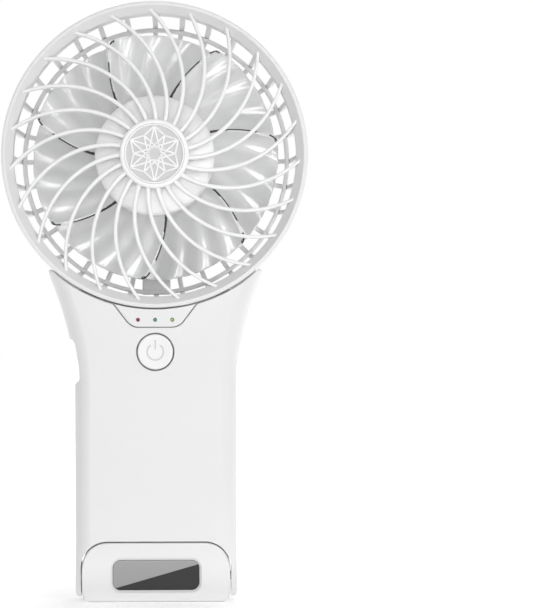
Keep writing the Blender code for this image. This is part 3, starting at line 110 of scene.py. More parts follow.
def arc(centre, radius, start, end, steps):
    return [
        (centre[0] + radius * math.cos(start + (end - start) * i / steps),
            centre[1] + radius * math.sin(start + (end - start) * i / steps)) for i in range(steps + 1)]


def skinned(loops, ringed=False):  # closed loops of equal length become one closed skin
    count, rows = len(loops[0]), len(loops)
    faces = []
    for row in range(rows if ringed else rows - 1):
        here, there = row * count, (row + 1) % rows * count
        for i in range(count):
            j = (i + 1) % count
            faces.append((here + i, here + j, there + j, there + i))
    if not ringed:
        faces += [tuple(range(count)), tuple(range((rows - 1) * count, rows * count))]
    mesh = bpy.data.meshes.new("skin")
    mesh.from_pydata([point for loop in loops for point in loop], [], faces)
    return tidy(mesh)


def turned(corners, steps=144):  # a profile of (radius, depth, rounding) about the depth axis
    angles = [2 * math.pi * i / steps for i in range(steps)]
    offAxis = corners[0][0] > 0  # such a profile closes on itself and makes a ring
    return skinned(
        [[(r * math.cos(a), r * math.sin(a), d) for a in angles] for r, d in rounded(corners, 4)], offAxis)


def sized(sizes, *corners):  # a profile's corners, where a name stands for its value in sizes
    return [tuple(sizes.get(value, value) for value in corner) for corner in corners]


def stacked(outline, levels, view=None):  # outline(grow) at each (level, grow)
    mesh = skinned([[(x, y, level) for x, y in outline(grow)] for level, grow in levels])
    if view:
        mesh.transform(view)
        tidy(mesh)
    return mesh


mouth = {"turn": math.radians(72), "lift": 0.05, "flare": 0.95, "clear": 3.0}  # how a flared cutter ends


def eased(low, edge, radius, outward=-1, steps=4):  # levels that round a plate's edge or flare a cutter
    last = math.pi / 2 if outward < 0 else mouth["turn"]
    levels = [(low, 0.0)]
    for i in range(steps + 1):
        t = last * i / steps
        levels.append((edge - radius + radius * math.sin(t), outward * radius * (1 - math.cos(t))))
    if outward > 0:
        levels += [(edge + mouth[key], radius * mouth["flare"]) for key in ("lift", "clear")]
    return levels


def bothEased(low, high, radius, steps=4):
    top = eased(low, high, radius, -1, steps)[1:]
    return [(low + high - level, grow) for level, grow in top[::-1]] + top


def tapered(low, edge):  # levels that narrow a plate's lower end a little
    return [(low, -edge), (low + edge / 3, -edge / 3), (low + edge, 0)]


def discOutline(radius, centre, steps):
    return lambda grow: arc(centre, radius + grow, 0, 2 * math.pi * (1 - 1 / steps), steps - 1)


def prism(outline, low, high, view=None):  # straight from one level to another
    return stacked(lambda grow: outline, [(low, 0), (high, 0)], view)


def rod(radius, centre, low, high, steps=24, view=None):
    return prism(discOutline(radius, centre, steps)(0), low, high, view)


def plate(outline, sizes, ends=eased):  # from its back to its front, with rounded edges
    return stacked(outline, ends(sizes["back"], sizes["front"], sizes["edge"]))


def roundCutter(radius, centre, front, ease, steps, low=-beyond):  # for a round hole with an eased front edge
    return stacked(discOutline(radius, centre, steps), eased(low, front, ease, 1))


def stroke(path, width):  # outline of a pen line with round ends
    line = [Vector(p) for p in path]
    sides = []
    for i, point in enumerate(line):
        ahead = (line[min(i + 1, len(line) - 1)] - line[max(i - 1, 0)]).normalized()
        sides.append((point, Vector((-ahead.y, ahead.x))))
    half = width / 2
    outline = [tuple(p + n * half) for p, n in sides]
    for (point, normal), sign in ((sides[-1], 1), (sides[0], -1)):
        start = math.atan2(normal.y * sign, normal.x * sign)
        outline += arc(point, half, start, start - math.pi, 8)[1:-1]
        outline += [tuple(p - n * half) for p, n in sides[::-1]] if sign > 0 else []
    return outline


def penLine(path, width, levels):
    return stacked(lambda grow: stroke(path, width + 2 * grow), levels)


def baked(obj):  # the evaluated shape of a helper object; the helper goes
    bpy.context.view_layer.update()
    mesh = bpy.data.meshes.new_from_object(obj.evaluated_get(bpy.context.evaluated_depsgraph_get()))
    bpy.data.objects.remove(obj)
    return mesh


def helper(mesh, name="helper"):
    obj = bpy.data.objects.new(name, mesh)
    scene.collection.objects.link(obj)
    return obj


def carved(mesh, tools, operation="DIFFERENCE"):
    work = helper(mesh, "work")
    helpers = [helper(tool, "tool") for tool in tools]
    for tool in helpers:
        step = work.modifiers.new("carve", "BOOLEAN")
        step.operation, step.solver, step.object = operation, "MANIFOLD", tool
    result = baked(work)
    for tool in helpers:
        bpy.data.objects.remove(tool)
    return tidy(result)


def fromTree(tree, values):  # evaluates a geometry tree on an empty mesh; values are by socket name
    obj = helper(bpy.data.meshes.new("grown"))
    step = obj.modifiers.new("grow", "NODES")
    step.node_group = tree
    sockets = {item.name: item.identifier for item in tree.interface.items_tree if item.in_out == "INPUT"}
    for name, value in values.items():
        step[sockets[name]] = value
    return tidy(baked(obj))


def newTree(name, sockets):
    tree = bpy.data.node_groups.new(name, "GeometryNodeTree")
    for label, kind in sockets.items():
        tree.interface.new_socket(label, in_out="INPUT", socket_type="NodeSocket" + kind)
    tree.interface.new_socket("Geometry", in_out="OUTPUT", socket_type="NodeSocketGeometry")
    return tree, {s.name: s for s in addNode(tree, "NodeGroupInput").node.outputs}


def repeated(tree, given, shape, spots, perCopy):  # ends a tree: a copy at every spot, each turned further
    index = addNode(tree, "GeometryNodeInputIndex")
    turn = addNode(
        tree, "ShaderNodeMath", {0: index, 1: perCopy, 2: given["First turn"]}, operation="MULTIPLY_ADD")
    about = addNode(tree, "ShaderNodeCombineXYZ", {"Z": turn})
    copies = addNode(
        tree, "GeometryNodeInstanceOnPoints", {"Points": spots, "Instance": shape, "Rotation": about})
    solid = addNode(tree, "GeometryNodeRealizeInstances", {"Geometry": copies})
    done = addNode(tree, "GeometryNodeSetMaterial", {"Geometry": solid, "Material": given["Finish"]})
    addNode(tree, "NodeGroupOutput", {"Geometry": done})
    return tree


def copiesTree():  # one shape at every spot
    tree, given = newTree(
        "copiesAtSpots", {"Shape": "Object", "Spots": "Object", "First turn": "Float", "Turn per copy": "Float",
            "Finish": "Material"})
    shape, spots = (
        addNode(tree, "GeometryNodeObjectInfo", {"Object": given[name]}, "Geometry")
        for name in ("Shape", "Spots"))
    return repeated(tree, given, shape, spots, given["Turn per copy"])


def spotsMesh(points):
    mesh = bpy.data.meshes.new("spots")
    mesh.from_pydata(points, [], [])
    return mesh


def copied(mesh, count, firstTurn, finish, points=None):
    shape, spots = helper(mesh, "shape"), helper(spotsMesh(points or [(0, 0, 0)] * count), "spots")
    grown = fromTree(
        copiesAtSpots, {"Shape": shape, "Spots": spots, "First turn": firstTurn,
            "Turn per copy": 0.0 if points else 2 * math.pi / count, "Finish": finish})
    bpy.data.objects.remove(shape)
    bpy.data.objects.remove(spots)
    return grown


def piece(name, mesh, finish, nodes, place=intoFrame, body="handle", crease=32):
    mesh.transform(place)
    mesh.materials.clear()
    mesh.materials.append(finish)
    mesh.shade_smooth()
    mesh.set_sharp_from_angle(angle=math.radians(crease))
    flat = helper(mesh, "flat")
    flat.modifiers.new("even", "WEIGHTED_NORMAL").keep_sharp = True  # flat walls stay flat beside small rounds
    mesh = baked(flat)
    mesh.name = name
    obj = helper(mesh, name)
    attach(obj, body)
    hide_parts(*nodes)
    print("made", name, len(mesh.polygons), "faces")
    return obj


copiesAtSpots = copiesTree()

# Finishes
# Painted shade: a dark colour laid into gaps, creases and corners where ambient occlusion finds little open sky
paintedGapShade = {"shade": "#2E2E2E", "full": 0.05, "none": 0.4}  # shares of open sky where it is full and where it ends
driftSpan = {"From Min": 0.3, "From Max": 0.7}  # most of a noise texture's values


def surface(name, shades, gloss, grain, grainDepth, cloud, seam=0.0, **sockets):
    # shades: two hex colours that drift into each other over cloud mm; gloss: lowest and highest roughness;
    # grain: size of the surface's bumps in mm, grainDepth: how deep they are; seam: reach in mm of the painted
    # shade that darkens narrow gaps, creases and corners
    finish = bpy.data.materials.new(name)
    finish.use_nodes = True
    tree = finish.node_tree
    shader = tree.nodes["Principled BSDF"]
    for key, value in sockets.items():
        shader.inputs[key].default_value = value
    place = addNode(tree, "ShaderNodeTexCoord", out="Object")
    drift = addNode(tree, "ShaderNodeTexNoise", {"Vector": place, "Scale": 1000 / cloud, "Detail": 3.0})
    colour = addNode(
        tree, "ShaderNodeMix", {"Factor": drift, 6: linear(shades[0]), 7: linear(shades[1])}, 2, data_type="RGBA")
    # painted shade: the colour darkens where the surface is hemmed in by nearby parts
    if seam:
        hidden = addNode(tree, "ShaderNodeAmbientOcclusion", {"Distance": seam / 1000}, "AO", samples=8)
        clean = addNode(
            tree, "ShaderNodeMapRange", {"Value": hidden, "From Min": paintedGapShade["full"], "From Max": paintedGapShade["none"]})
        colour = addNode(
            tree, "ShaderNodeMix", {"Factor": clean, 6: linear(paintedGapShade["shade"]), 7: colour}, 2, data_type="RGBA")
    rough = addNode(
        tree, "ShaderNodeMapRange", {"Value": drift, **driftSpan, "To Min": gloss[0], "To Max": gloss[1]})
    pits = addNode(tree, "ShaderNodeTexNoise", {"Vector": place, "Scale": 1000 / grain, "Detail": 2.0})
    bump = addNode(tree, "ShaderNodeBump", {"Height": pits, "Strength": 1.0, "Distance": grainDepth / 1000})
    tree.links.new(colour, shader.inputs["Base Color"])
    tree.links.new(rough, shader.inputs["Roughness"])
    tree.links.new(bump, shader.inputs["Normal"])
    return finish


# Moulded ABS from a spark-eroded mould: satin white, with painted shade in its narrow gaps; the real 0.1 mm grain
# is drawn at 0.6 mm so that it shows
whiteAbs = surface("spark_eroded_white_abs", ("#DFDFDF", "#E3E3E3"), (0.36, 0.44), 0.6, 0.004, 14, 1.0, IOR=1.54)
# The foot: the same ABS with painted gap shade of a shorter reach, so that only its finest gaps darken
footAbs = surface("white_abs_short_gap_shade", ("#DFDFDF", "#E3E3E3"), (0.36, 0.44), 0.6, 0.004, 14, 0.3, IOR=1.54)
# The grille's ribs: the same ABS, smoother, painted a shade whiter than the ring round them to stand in for the
# light on their tops; their gaps take painted shade
ribAbs = surface("smooth_white_abs", ("#EFEFEF", "#F3F3F3"), (0.3, 0.38), 1.0, 0.003, 14, 1.0, IOR=1.54)
# The same ABS from a polished mould: smoother, so the flutes carry clear highlights
fanAbs = surface(
    "polished_fan_abs", ("#E6E7E7", "#EBEBEB"), (0.20, 0.26), 2.5, 0.002, 9, IOR=1.54,
    **{"Coat Weight": 1.0, "Coat Roughness": 0.2})
fanTree = fanAbs.node_tree
fanColour = fanTree.nodes["Principled BSDF"].inputs["Base Color"]
# Painted shadow: a dark line along each blade's front edge, standing for the shadow it casts on the blade it
# overlaps
edgeShadowMask = addNode(fanTree, "ShaderNodeAttribute", out="Fac", attribute_name="frontEdge")
edgeShadowShare = addNode(fanTree, "ShaderNodeMapRange", {"Value": edgeShadowMask, "From Min": 0.3, "From Max": 0.6})
edgeShadowed = addNode(
    fanTree, "ShaderNodeMix", {"Factor": edgeShadowShare, 6: fanColour.links[0].from_socket, 7: linear("#262626")}, 2,
    data_type="RGBA")
fanTree.links.new(edgeShadowed, fanColour)  # a dark line along each blade's front edge
# The spinner's cap: the smoothest of the mouldings, painted whiter than the rest to stand in for the light it
# catches behind the grille
spinnerAbs = surface("polished_white_abs", ("#FAFAFA", "#FDFDFD"), (0.22, 0.3), 1.2, 0.002, 11, IOR=1.54)
# Cage ABS: the same white moulding painted a little darker for the shade it sits in, and a little duller; its
# gaps take painted shade
cageAbs = surface("cage_white_abs_painted_shade", ("#DCDCDC", "#E0E0E0"), (0.42, 0.5), 0.7, 0.005, 12, 1.0, IOR=1.54)
# Medallion ground: bead-blasted ABS, pale grey and matt, so that the raised lines stand out
capAbs = surface("bead_blasted_cap_abs", ("#CACACA", "#D0D0D0"), (0.5, 0.58), 0.4, 0.008, 5, IOR=1.54)
# Raised lines and rim: the same moulding with polished tops, near white
lineAbs = surface("polished_line_abs", ("#F6F6F6", "#FAFAFA"), (0.3, 0.36), 0.8, 0.002, 6, IOR=1.54)
# Button: fine satin ABS that takes a soft dish of light
buttonAbs = surface("fine_satin_button_abs", ("#EAEAEA", "#EEEEEE"), (0.4, 0.46), 0.5, 0.003, 8, IOR=1.54)
# Pad-printed grey ink in the button's symbol, flat and dry
inkGrey = surface("pad_printed_grey_ink", ("#CBCBCB", "#D1D1D1"), (0.55, 0.62), 0.3, 0.002, 3, IOR=1.5)
# Zinc-plated steel: pale grey metal with a faint drift in its gloss
zincSteel = surface("zinc_plated_steel", ("#B9BBBD", "#C8CACC"), (0.24, 0.36), 0.25, 0.002, 1.2, Metallic=1.0)
# Deep-drawn nickel-plated steel of the motor bell and the charging socket, brighter and smoother
nickelSteel = surface("nickel_plated_steel", ("#C9C8C4", "#D6D5D1"), (0.16, 0.26), 0.4, 0.001, 2.5, Metallic=1.0)
# Front-silvered acrylic mirror: nearly perfect, with a breath of haze
mirrorGlass = surface("silvered_mirror", ("#E4E8EA", "#E8EBED"), (0.015, 0.035), 6, 0.0004, 18, Metallic=1.0)
# Ferrite magnet: sintered, dark and dry
ferrite = surface("sintered_ferrite", ("#3A3A3C", "#444447"), (0.55, 0.7), 0.25, 0.01, 1.5)
# Oil-soaked sintered bronze bush: brown metal with fine pores
bronze = surface("sintered_bronze", ("#9A7440", "#B08A52"), (0.32, 0.48), 0.12, 0.006, 0.8, Metallic=1.0)
# Moulded switch body: black nylon with a fine matt grain
switchNylon = surface("matt_black_nylon", ("#1B1B1C", "#242425"), (0.48, 0.58), 0.3, 0.006, 3)
# Shrink film on the cell: blue PVC with soft wrinkles
cellFilm = surface("blue_shrink_film", ("#4F7FA6", "#5C8CB2"), (0.28, 0.4), 2.2, 0.04, 7, IOR=1.53)
# Solder mask over glass-fibre board: green varnish with the weave just showing
solderMask = surface("green_solder_mask", ("#1F6B3A", "#2A7A45"), (0.3, 0.42), 0.5, 0.006, 2, IOR=1.5)
# Enamelled copper wire: lacquered metal
copperWire = surface("enamelled_copper", ("#B5652F", "#C77A40"), (0.28, 0.4), 0.35, 0.02, 1.0, Metallic=1.0)
# Indicator lenses: tinted PMMA beads, smooth, with colour deep enough to tell at a millimetre
redLens = surface("red_tinted_pmma", ("#7E0626", "#8A0A2C"), (0.3, 0.4), 0.3, 0.0005, 0.4, IOR=1.49)
tealLens = surface("teal_tinted_pmma", ("#4A8688", "#529092"), (0.1, 0.16), 0.3, 0.0005, 0.4, IOR=1.49)
greenLens = surface("green_tinted_pmma", ("#86A550", "#90AF5A"), (0.1, 0.16), 0.3, 0.0005, 0.4, IOR=1.49)
print("finishes ready,", len(bpy.data.materials), "materials")

# Front grille: ring, swept ribs and hub

ring = {
    "outer": 50.0, "front": 12.0, "back": 1.0, "skirtInner": 48.7, "lipInner": 48.6, "lipFloor": 11.75,
    "inner": 46.3, "faceEdge": 9.2, "flangeBack": 7.4}
rib = {
    "Copies": 23, "First turn": math.radians(56.3), "Root radius": 11.3, "Tip radius": 47.8, "Lap": 1.1,
    "Overrun": 0.7, "Sweep": math.radians(35.5), "Curl": 1.15, "Tip front": 10.6, "Dome": 5.0, "Width": 1.45,
    "Depth": 4.4, "Rounding": 0.62, "Tip scale": 0.72, "Steps": 44}
hub = {"radius": 11.3, "front": 16.2, "back": 10.4, "recess": 9.8, "floor": 14.6, "edge": 0.8}


def ribsTree():  # a rib follows its rule out over the dome, then is repeated round the hub
    kinds = {name: "Int" if isinstance(value, int) else "Float" for name, value in rib.items()}
    tree, given = newTree("sweptRibs", {**kinds, "Finish": "Material"})
    line = addNode(tree, "GeometryNodeCurvePrimitiveLine", {"End": (1, 0, 0)})
    line = addNode(tree, "GeometryNodeResampleCurve", {"Curve": line, "Count": given["Steps"]})
    position = addNode(tree, "GeometryNodeInputPosition")
    share = addNode(tree, "ShaderNodeSeparateXYZ", {"Vector": position})
    inner = addNode(tree, "ShaderNodeMath", {0: given["Root radius"], 1: given["Lap"]}, operation="SUBTRACT")
    outer = addNode(tree, "ShaderNodeMath", {0: given["Tip radius"], 1: given["Overrun"]}, operation="ADD")
    radius = addNode(tree, "ShaderNodeMapRange", {"Value": share, "To Min": inner, "To Max": outer})
    run = addNode(
        tree, "ShaderNodeMapRange",
        {"Value": radius, "From Min": given["Root radius"], "From Max": given["Tip radius"]})
    bent = addNode(tree, "ShaderNodeMath", {0: run, 1: given["Curl"]}, operation="POWER")
    angle = addNode(tree, "ShaderNodeMath", {0: bent, 1: given["Sweep"]}, operation="MULTIPLY")
    parts = [addNode(tree, "ShaderNodeMath", {0: angle}, operation=kind) for kind in ("COSINE", "SINE")]
    right, up = (addNode(tree, "ShaderNodeMath", {0: radius, 1: part}, operation="MULTIPLY") for part in parts)
    outness = addNode(tree, "ShaderNodeMath", {0: radius, 1: given["Tip radius"]}, operation="DIVIDE")
    squared = addNode(tree, "ShaderNodeMath", {0: outness, 1: outness}, operation="MULTIPLY")
    fall = addNode(tree, "ShaderNodeMath", {0: 1.0, 1: squared}, operation="SUBTRACT")
    front = addNode(
        tree, "ShaderNodeMath", {0: fall, 1: given["Dome"], 2: given["Tip front"]}, operation="MULTIPLY_ADD")
    spot = addNode(tree, "ShaderNodeCombineXYZ", {"X": right, "Y": up, "Z": front})
    scale = addNode(tree, "ShaderNodeMapRange", {"Value": share, "To Min": 1.0, "To Max": given["Tip scale"]})
    line = addNode(tree, "GeometryNodeSetCurveRadius", {"Curve": line, "Radius": scale})
    line = addNode(tree, "GeometryNodeSetPosition", {"Geometry": line, "Position": spot})
    line = addNode(tree, "GeometryNodeSetCurveNormal", {"Curve": line}, mode="Z_UP")
    section = addNode(
        tree, "GeometryNodeCurvePrimitiveQuadrilateral", {"Width": given["Width"], "Height": given["Depth"]})
    section = addNode(
        tree, "GeometryNodeFilletCurve", {"Curve": section, "Count": 5, "Radius": given["Rounding"]}, mode="POLY")
    half = addNode(tree, "ShaderNodeMath", {0: given["Depth"], 1: 0.5}, operation="MULTIPLY")
    sink = addNode(tree, "ShaderNodeCombineXYZ", {"Y": half})
    section = addNode(tree, "GeometryNodeTransform", {"Geometry": section, "Translation": sink})
    size = addNode(tree, "GeometryNodeInputRadius")
    solid = addNode(
        tree, "GeometryNodeCurveToMesh",
        {"Curve": line, "Profile Curve": section, "Scale": size, "Fill Caps": True})
    spots = addNode(tree, "GeometryNodePoints", {"Count": given["Copies"]})
    pitch = addNode(tree, "ShaderNodeMath", {0: 2 * math.pi, 1: given["Copies"]}, operation="DIVIDE")
    return repeated(tree, given, solid, spots, pitch)


ringMesh = turned(
    sized(ring, ("lipInner", "lipFloor", 0.1), ("lipInner", "front", 0.12), ("outer", "front", 0.5),
        ("outer", "back", 0.3), ("skirtInner", "back", 0.2), ("skirtInner", "flangeBack", 0),
        ("inner", "flangeBack", 0.4), ("inner", "faceEdge", 0.35)), 192)
ribsMesh = fromTree(ribsTree(), {**rib, "Finish": ribAbs})
hubMesh = turned(
    sized(hub, (0, "floor", 0), ("recess", "floor", 0), ("recess", "front", 0.2), ("radius", "front", "edge"),
        ("radius", "back", 0.5), (0, "back", 0)))
grilleMesh = carved(ribsMesh, [hubMesh], "UNION")
piece("frontRing", ringMesh, whiteAbs, ["front_grille"], intoHead)
piece("frontGrille", grilleMesh, ribAbs, ["front_grille"], intoHead)

# Medallion in the hub: a sunk ground, a thin rim and a raised six-fold rosette

cap = {"radius": 9.76, "back": 14.9, "plate": 15.6, "plateRadius": 9.36, "rim": 16.2, "rimInner": 9.26}
rosette = {
    "tipRadius": 8.95, "valleyRadius": 6.75, "valleys": (60, 120, 240, 300), "line": 0.5, "root": 0.1,
    "height": 0.35, "rounding": 0.15}

capMesh = turned(
    sized(cap, (0, "plate", 0), ("plateRadius", "plate", 0), ("plateRadius", "back", 0), (0, "back", 0)))
rimMesh = turned(
    sized(cap, ("rimInner", "rim", 0.15), ("radius", "rim", 0.2), ("radius", "back", 0.1),
        ("rimInner", "back", 0)))
piece("hubCap", capMesh, capAbs, ["hub_cap"], intoHead)
piece("hubRim", rimMesh, lineAbs, ["hub_cap"], intoHead)


def onCircle(radius, degrees):
    return radius * math.cos(math.radians(degrees)), radius * math.sin(math.radians(degrees))


rosetteTip = onCircle(rosette["tipRadius"], 90)
rosetteLevels = eased(
    cap["plate"] - rosette["root"], cap["plate"] + rosette["height"], rosette["rounding"], steps=2)
motif = bmesh.new()
for degrees in rosette["valleys"]:
    path = [rosetteTip, onCircle(rosette["valleyRadius"], degrees)]
    motif.from_mesh(penLine(path, rosette["line"], rosetteLevels))
motifMesh = bpy.data.meshes.new("motif")
motif.to_mesh(motifMesh)
motif.free()
piece("hubRosette", copied(motifMesh, 6, 0.0, lineAbs), lineAbs, ["hub_cap"], intoHead)

# Rear cage: band, bars, rear ring, motor mount, saddle, wire channel and tongue

cage = {
    "outer": 50.0, "bandOuter": 48.4, "bandInner": 46.8, "bandFront": 6.7, "flangeFront": 0.7, "flangeBack": -2.0,
    "rear": -27.0}
bar = {
    "copies": 32, "width": 1.65, "depth": 2.5, "ribDepth": 2.2, "top": -0.65, "outerTop": 49.5, "outerRear": 47.9,
    "corner": 3.0, "innerCorner": 1.0, "end": 14.0, "edge": 0.5}
rearRing = {"outer": 45.6, "inner": 44.1, "front": -22.0, "back": -24.5, "edge": 0.45}
mount = {
    "bore": 2.6, "tube": 3.6, "tubeFront": 0.3, "shoulder": 5.0, "shoulderFront": -10.3, "floor": -23.4,
    "disc": 15.5, "discFront": -24.4, "discBack": -27.15}
saddle = {"halfAngle": math.radians(28), "outer": 50.0, "inner": 47.1, "front": -1.5, "back": -24.0, "edge": 0.5}
channel = {
    "halfWidth": 4.8, "outer": 45.6, "inner": 13.5, "corner": 0.3, "back": -26.6, "front": -24.0, "edge": 0.6}
tongue = {
    "halfWidth": 8.0, "low": -60.0, "high": -48.4, "corner": 1.0, "rootCorner": 0.1, "back": -3.35,
    "front": -0.35, "edge": 0.3}


def barOutline(grow):
    rearFront = cage["rear"] + bar["ribDepth"]
    return rounded(
        [(bar["outerTop"] + grow, bar["top"], 0),
            (bar["outerRear"] + grow, cage["rear"] - grow, bar["corner"] + grow),
            (bar["end"], cage["rear"] - grow, 0), (bar["end"], rearFront + grow, 0),
            (bar["outerRear"] - bar["depth"] - grow, rearFront + grow, bar["innerCorner"] - grow),
            (bar["outerTop"] - bar["depth"] - grow, bar["top"], 0)])


def saddleOutline(grow):
    low, high = -math.pi / 2 - saddle["halfAngle"], -math.pi / 2 + saddle["halfAngle"]
    trim = grow / saddle["outer"]
    return (
        arc((0, 0), saddle["outer"] + grow, low - trim, high + trim, 40)
        + arc((0, 0), saddle["inner"] - grow, high + trim, low - trim, 40))


bandMesh = turned(
    sized(cage, ("bandOuter", "bandFront", 0.4), ("bandOuter", "flangeFront", 0), ("outer", "flangeFront", 0.3),
        ("outer", "flangeBack", 0.6), ("bandInner", "flangeBack", 0.4), ("bandInner", "bandFront", 0.4)), 192)
barMesh = stacked(barOutline, bothEased(-bar["width"] / 2, bar["width"] / 2, bar["edge"]), planView)
barsMesh = copied(barMesh, bar["copies"], -math.pi / 2, cageAbs)
rearRingMesh = turned(
    sized(rearRing, ("outer", "front", "edge"), ("outer", "back", "edge"), ("inner", "back", "edge"),
        ("inner", "front", "edge")), 160)
mountMesh = turned(
    sized(mount, (0, "floor", 0), ("bore", "floor", 0), ("bore", "tubeFront", 0.15), ("tube", "tubeFront", 0.2),
        ("tube", "shoulderFront", 0), ("shoulder", "shoulderFront", 0.2), ("shoulder", "discFront", 0),
        ("disc", "discFront", 0.4), ("disc", "discBack", 0.9), (0, "discBack", 0)), 96)
saddleMesh = plate(saddleOutline, saddle, bothEased)
channelMesh = plate(
    lambda grow: roundedBox(channel["halfWidth"] + grow, -channel["outer"], -channel["inner"], channel["corner"],
        3), channel, bothEased)
tongueMesh = plate(
    lambda grow: roundedBox(tongue["halfWidth"] + grow, tongue["low"] - grow, tongue["high"], tongue["corner"], 3,
        tongue["rootCorner"]), tongue, bothEased)
cageMesh = carved(bandMesh, [barsMesh, rearRingMesh, mountMesh, saddleMesh, channelMesh, tongueMesh], "UNION")
piece("rearCage", cageMesh, cageAbs, ["rear_cage"], intoHead)

# Impeller: fluted blades on a crowned spinner

spinner = {
    "radius": 19.7, "front": 8.5, "crown": 0.5, "shoulder": 8.0, "rounding": 1.2, "back": -14.0, "skirt": 18.2,
    "floor": 7.0, "web": 5.5, "boss": 3.0, "bossBack": 5.3, "bore": 1.3, "socket": 12.3, "socketOuter": 13.5,
    "socketBack": -3.0}
blade = {
    "copies": 7, "first": math.radians(10.2), "root": 18.95, "tip": 40.8, "span": math.radians(56),
    "lean": math.radians(14.4), "front": 4.6, "fall": 16.8, "wall": 1.1, "softEdge": 0.3, "corner": 3.0,
    "flutes": 4, "fluteHeight": 0.85, "fluteRise": 0.7, "across": 72, "along": 26, "edgeShadowWidth": 0.6}


def bladeTrim(chord):  # how far the tip draws in near the blade's two rounded corners
    edge = min(chord, 1 - chord) * blade["span"] * blade["tip"]
    return max(0.0, 1 - edge / blade["corner"]) ** 2 * blade["corner"]


def bladeMesh():
    root = blade["root"]
    work = bmesh.new()
    bmesh.ops.create_grid(work, x_segments=blade["across"], y_segments=blade["along"], size=0.5)
    for vertex in work.verts:
        chord, reach = vertex.co.x + 0.5, vertex.co.y + 0.5
        radius = root + (blade["tip"] - bladeTrim(chord) - root) * reach
        angle = blade["lean"] * (1 - reach) - blade["span"] * chord
        wave = math.cos(2 * math.pi * blade["flutes"] * chord) * reach ** blade["fluteRise"] - 1
        depth = blade["front"] - blade["wall"] / 2 - blade["fall"] * chord + blade["fluteHeight"] * wave
        vertex.co = (radius * math.cos(angle), radius * math.sin(angle), depth)
    mesh = bpy.data.meshes.new("blade")
    work.to_mesh(mesh)
    work.free()
    obj = helper(mesh, "blade")
    wall = obj.modifiers.new("wall", "SOLIDIFY")
    wall.thickness, wall.offset = blade["wall"], 0.0
    soft = obj.modifiers.new("soft", "BEVEL")
    soft.width, soft.segments = blade["softEdge"], 2
    soft.limit_method, soft.angle_limit = "ANGLE", math.radians(60)
    solid = tidy(baked(obj))
    # frontEdge marks where the painted shadow line runs along the blade's front edge
    mask = solid.attributes.new("frontEdge", "FLOAT", "POINT")  # marks the dark line for the finish
    for vertex, mark in zip(solid.vertices, mask.data):
        x, y = vertex.co.xy
        radius, angle = math.hypot(x, y), math.atan2(y, x)
        reach = min(1.0, (radius - root) / (blade["tip"] - root))
        chord = max(0.0, (blade["lean"] * (1 - reach) - angle) / blade["span"])
        atCorner = chord * blade["span"] * blade["tip"] < blade["corner"]
        inward = blade["tip"] - bladeTrim(chord) - radius if atCorner else blade["corner"]
        mark.value = 1.0 if min(chord * blade["span"] * radius, inward) < blade["edgeShadowWidth"] else 0.0
    return solid


crownShares = [i / 12 for i in range(11)]
crown = [
    (spinner["radius"] * share, spinner["front"] - spinner["crown"] * share ** 2, 0) for share in crownShares]
spinnerMesh = turned(
    crown + sized(spinner, ("radius", "shoulder", "rounding"), ("radius", "back", 0.4), ("skirt", "back", 0.4),
        ("skirt", "web", 0.5), ("socketOuter", "web", 0.4), ("socketOuter", "socketBack", 0.3),
        ("socket", "socketBack", 0.3), ("socket", "floor", 0), ("boss", "floor", 0), ("boss", "bossBack", 0.2),
        ("bore", "bossBack", 0), ("bore", "floor", 0), (0, "floor", 0)), 168)
piece("impellerSpinner", spinnerMesh, spinnerAbs, ["impeller"], intoHead, body="fan")
bladesMesh = copied(bladeMesh(), blade["copies"], blade["first"], fanAbs)
piece("impellerBlades", bladesMesh, fanAbs, ["impeller"], intoHead, body="fan")

# Motor: the turning bell, magnets and shaft

bell = {"radius": 12.0, "inner": 11.0, "front": 5.0, "floor": 4.0, "back": -12.0, "edge": 0.9, "bore": 1.3}
magnets = {"outer": 10.7, "inner": 9.6, "front": 3.7, "back": -11.0, "edge": 0.2}
shaft = {"radius": 1.0, "front": 6.7, "back": -22.4, "edge": 0.2}

bellMesh = turned(
    sized(bell, ("bore", "front", 0.1), ("radius", "front", "edge"), ("radius", "back", 0.2),
        ("inner", "back", 0.2), ("inner", "floor", 0.3), ("bore", "floor", 0)), 96)
piece("motorBell", bellMesh, nickelSteel, ["motor_bell"], intoHead, body="fan")
magnetMesh = turned(
    sized(magnets, ("outer", "front", "edge"), ("outer", "back", "edge"), ("inner", "back", "edge"),
        ("inner", "front", "edge")), 96)
piece("magnetRing", magnetMesh, ferrite, ["magnet_ring"], intoHead, body="fan")
shaftMesh = turned(
    sized(shaft, (0, "front", 0), ("radius", "front", "edge"), ("radius", "back", "edge"), (0, "back", 0)), 48)
piece("motorShaft", shaftMesh, zincSteel, ["motor_shaft"], intoHead, body="fan")

# Handle: front shell with the light island, rear shell with the flared neck

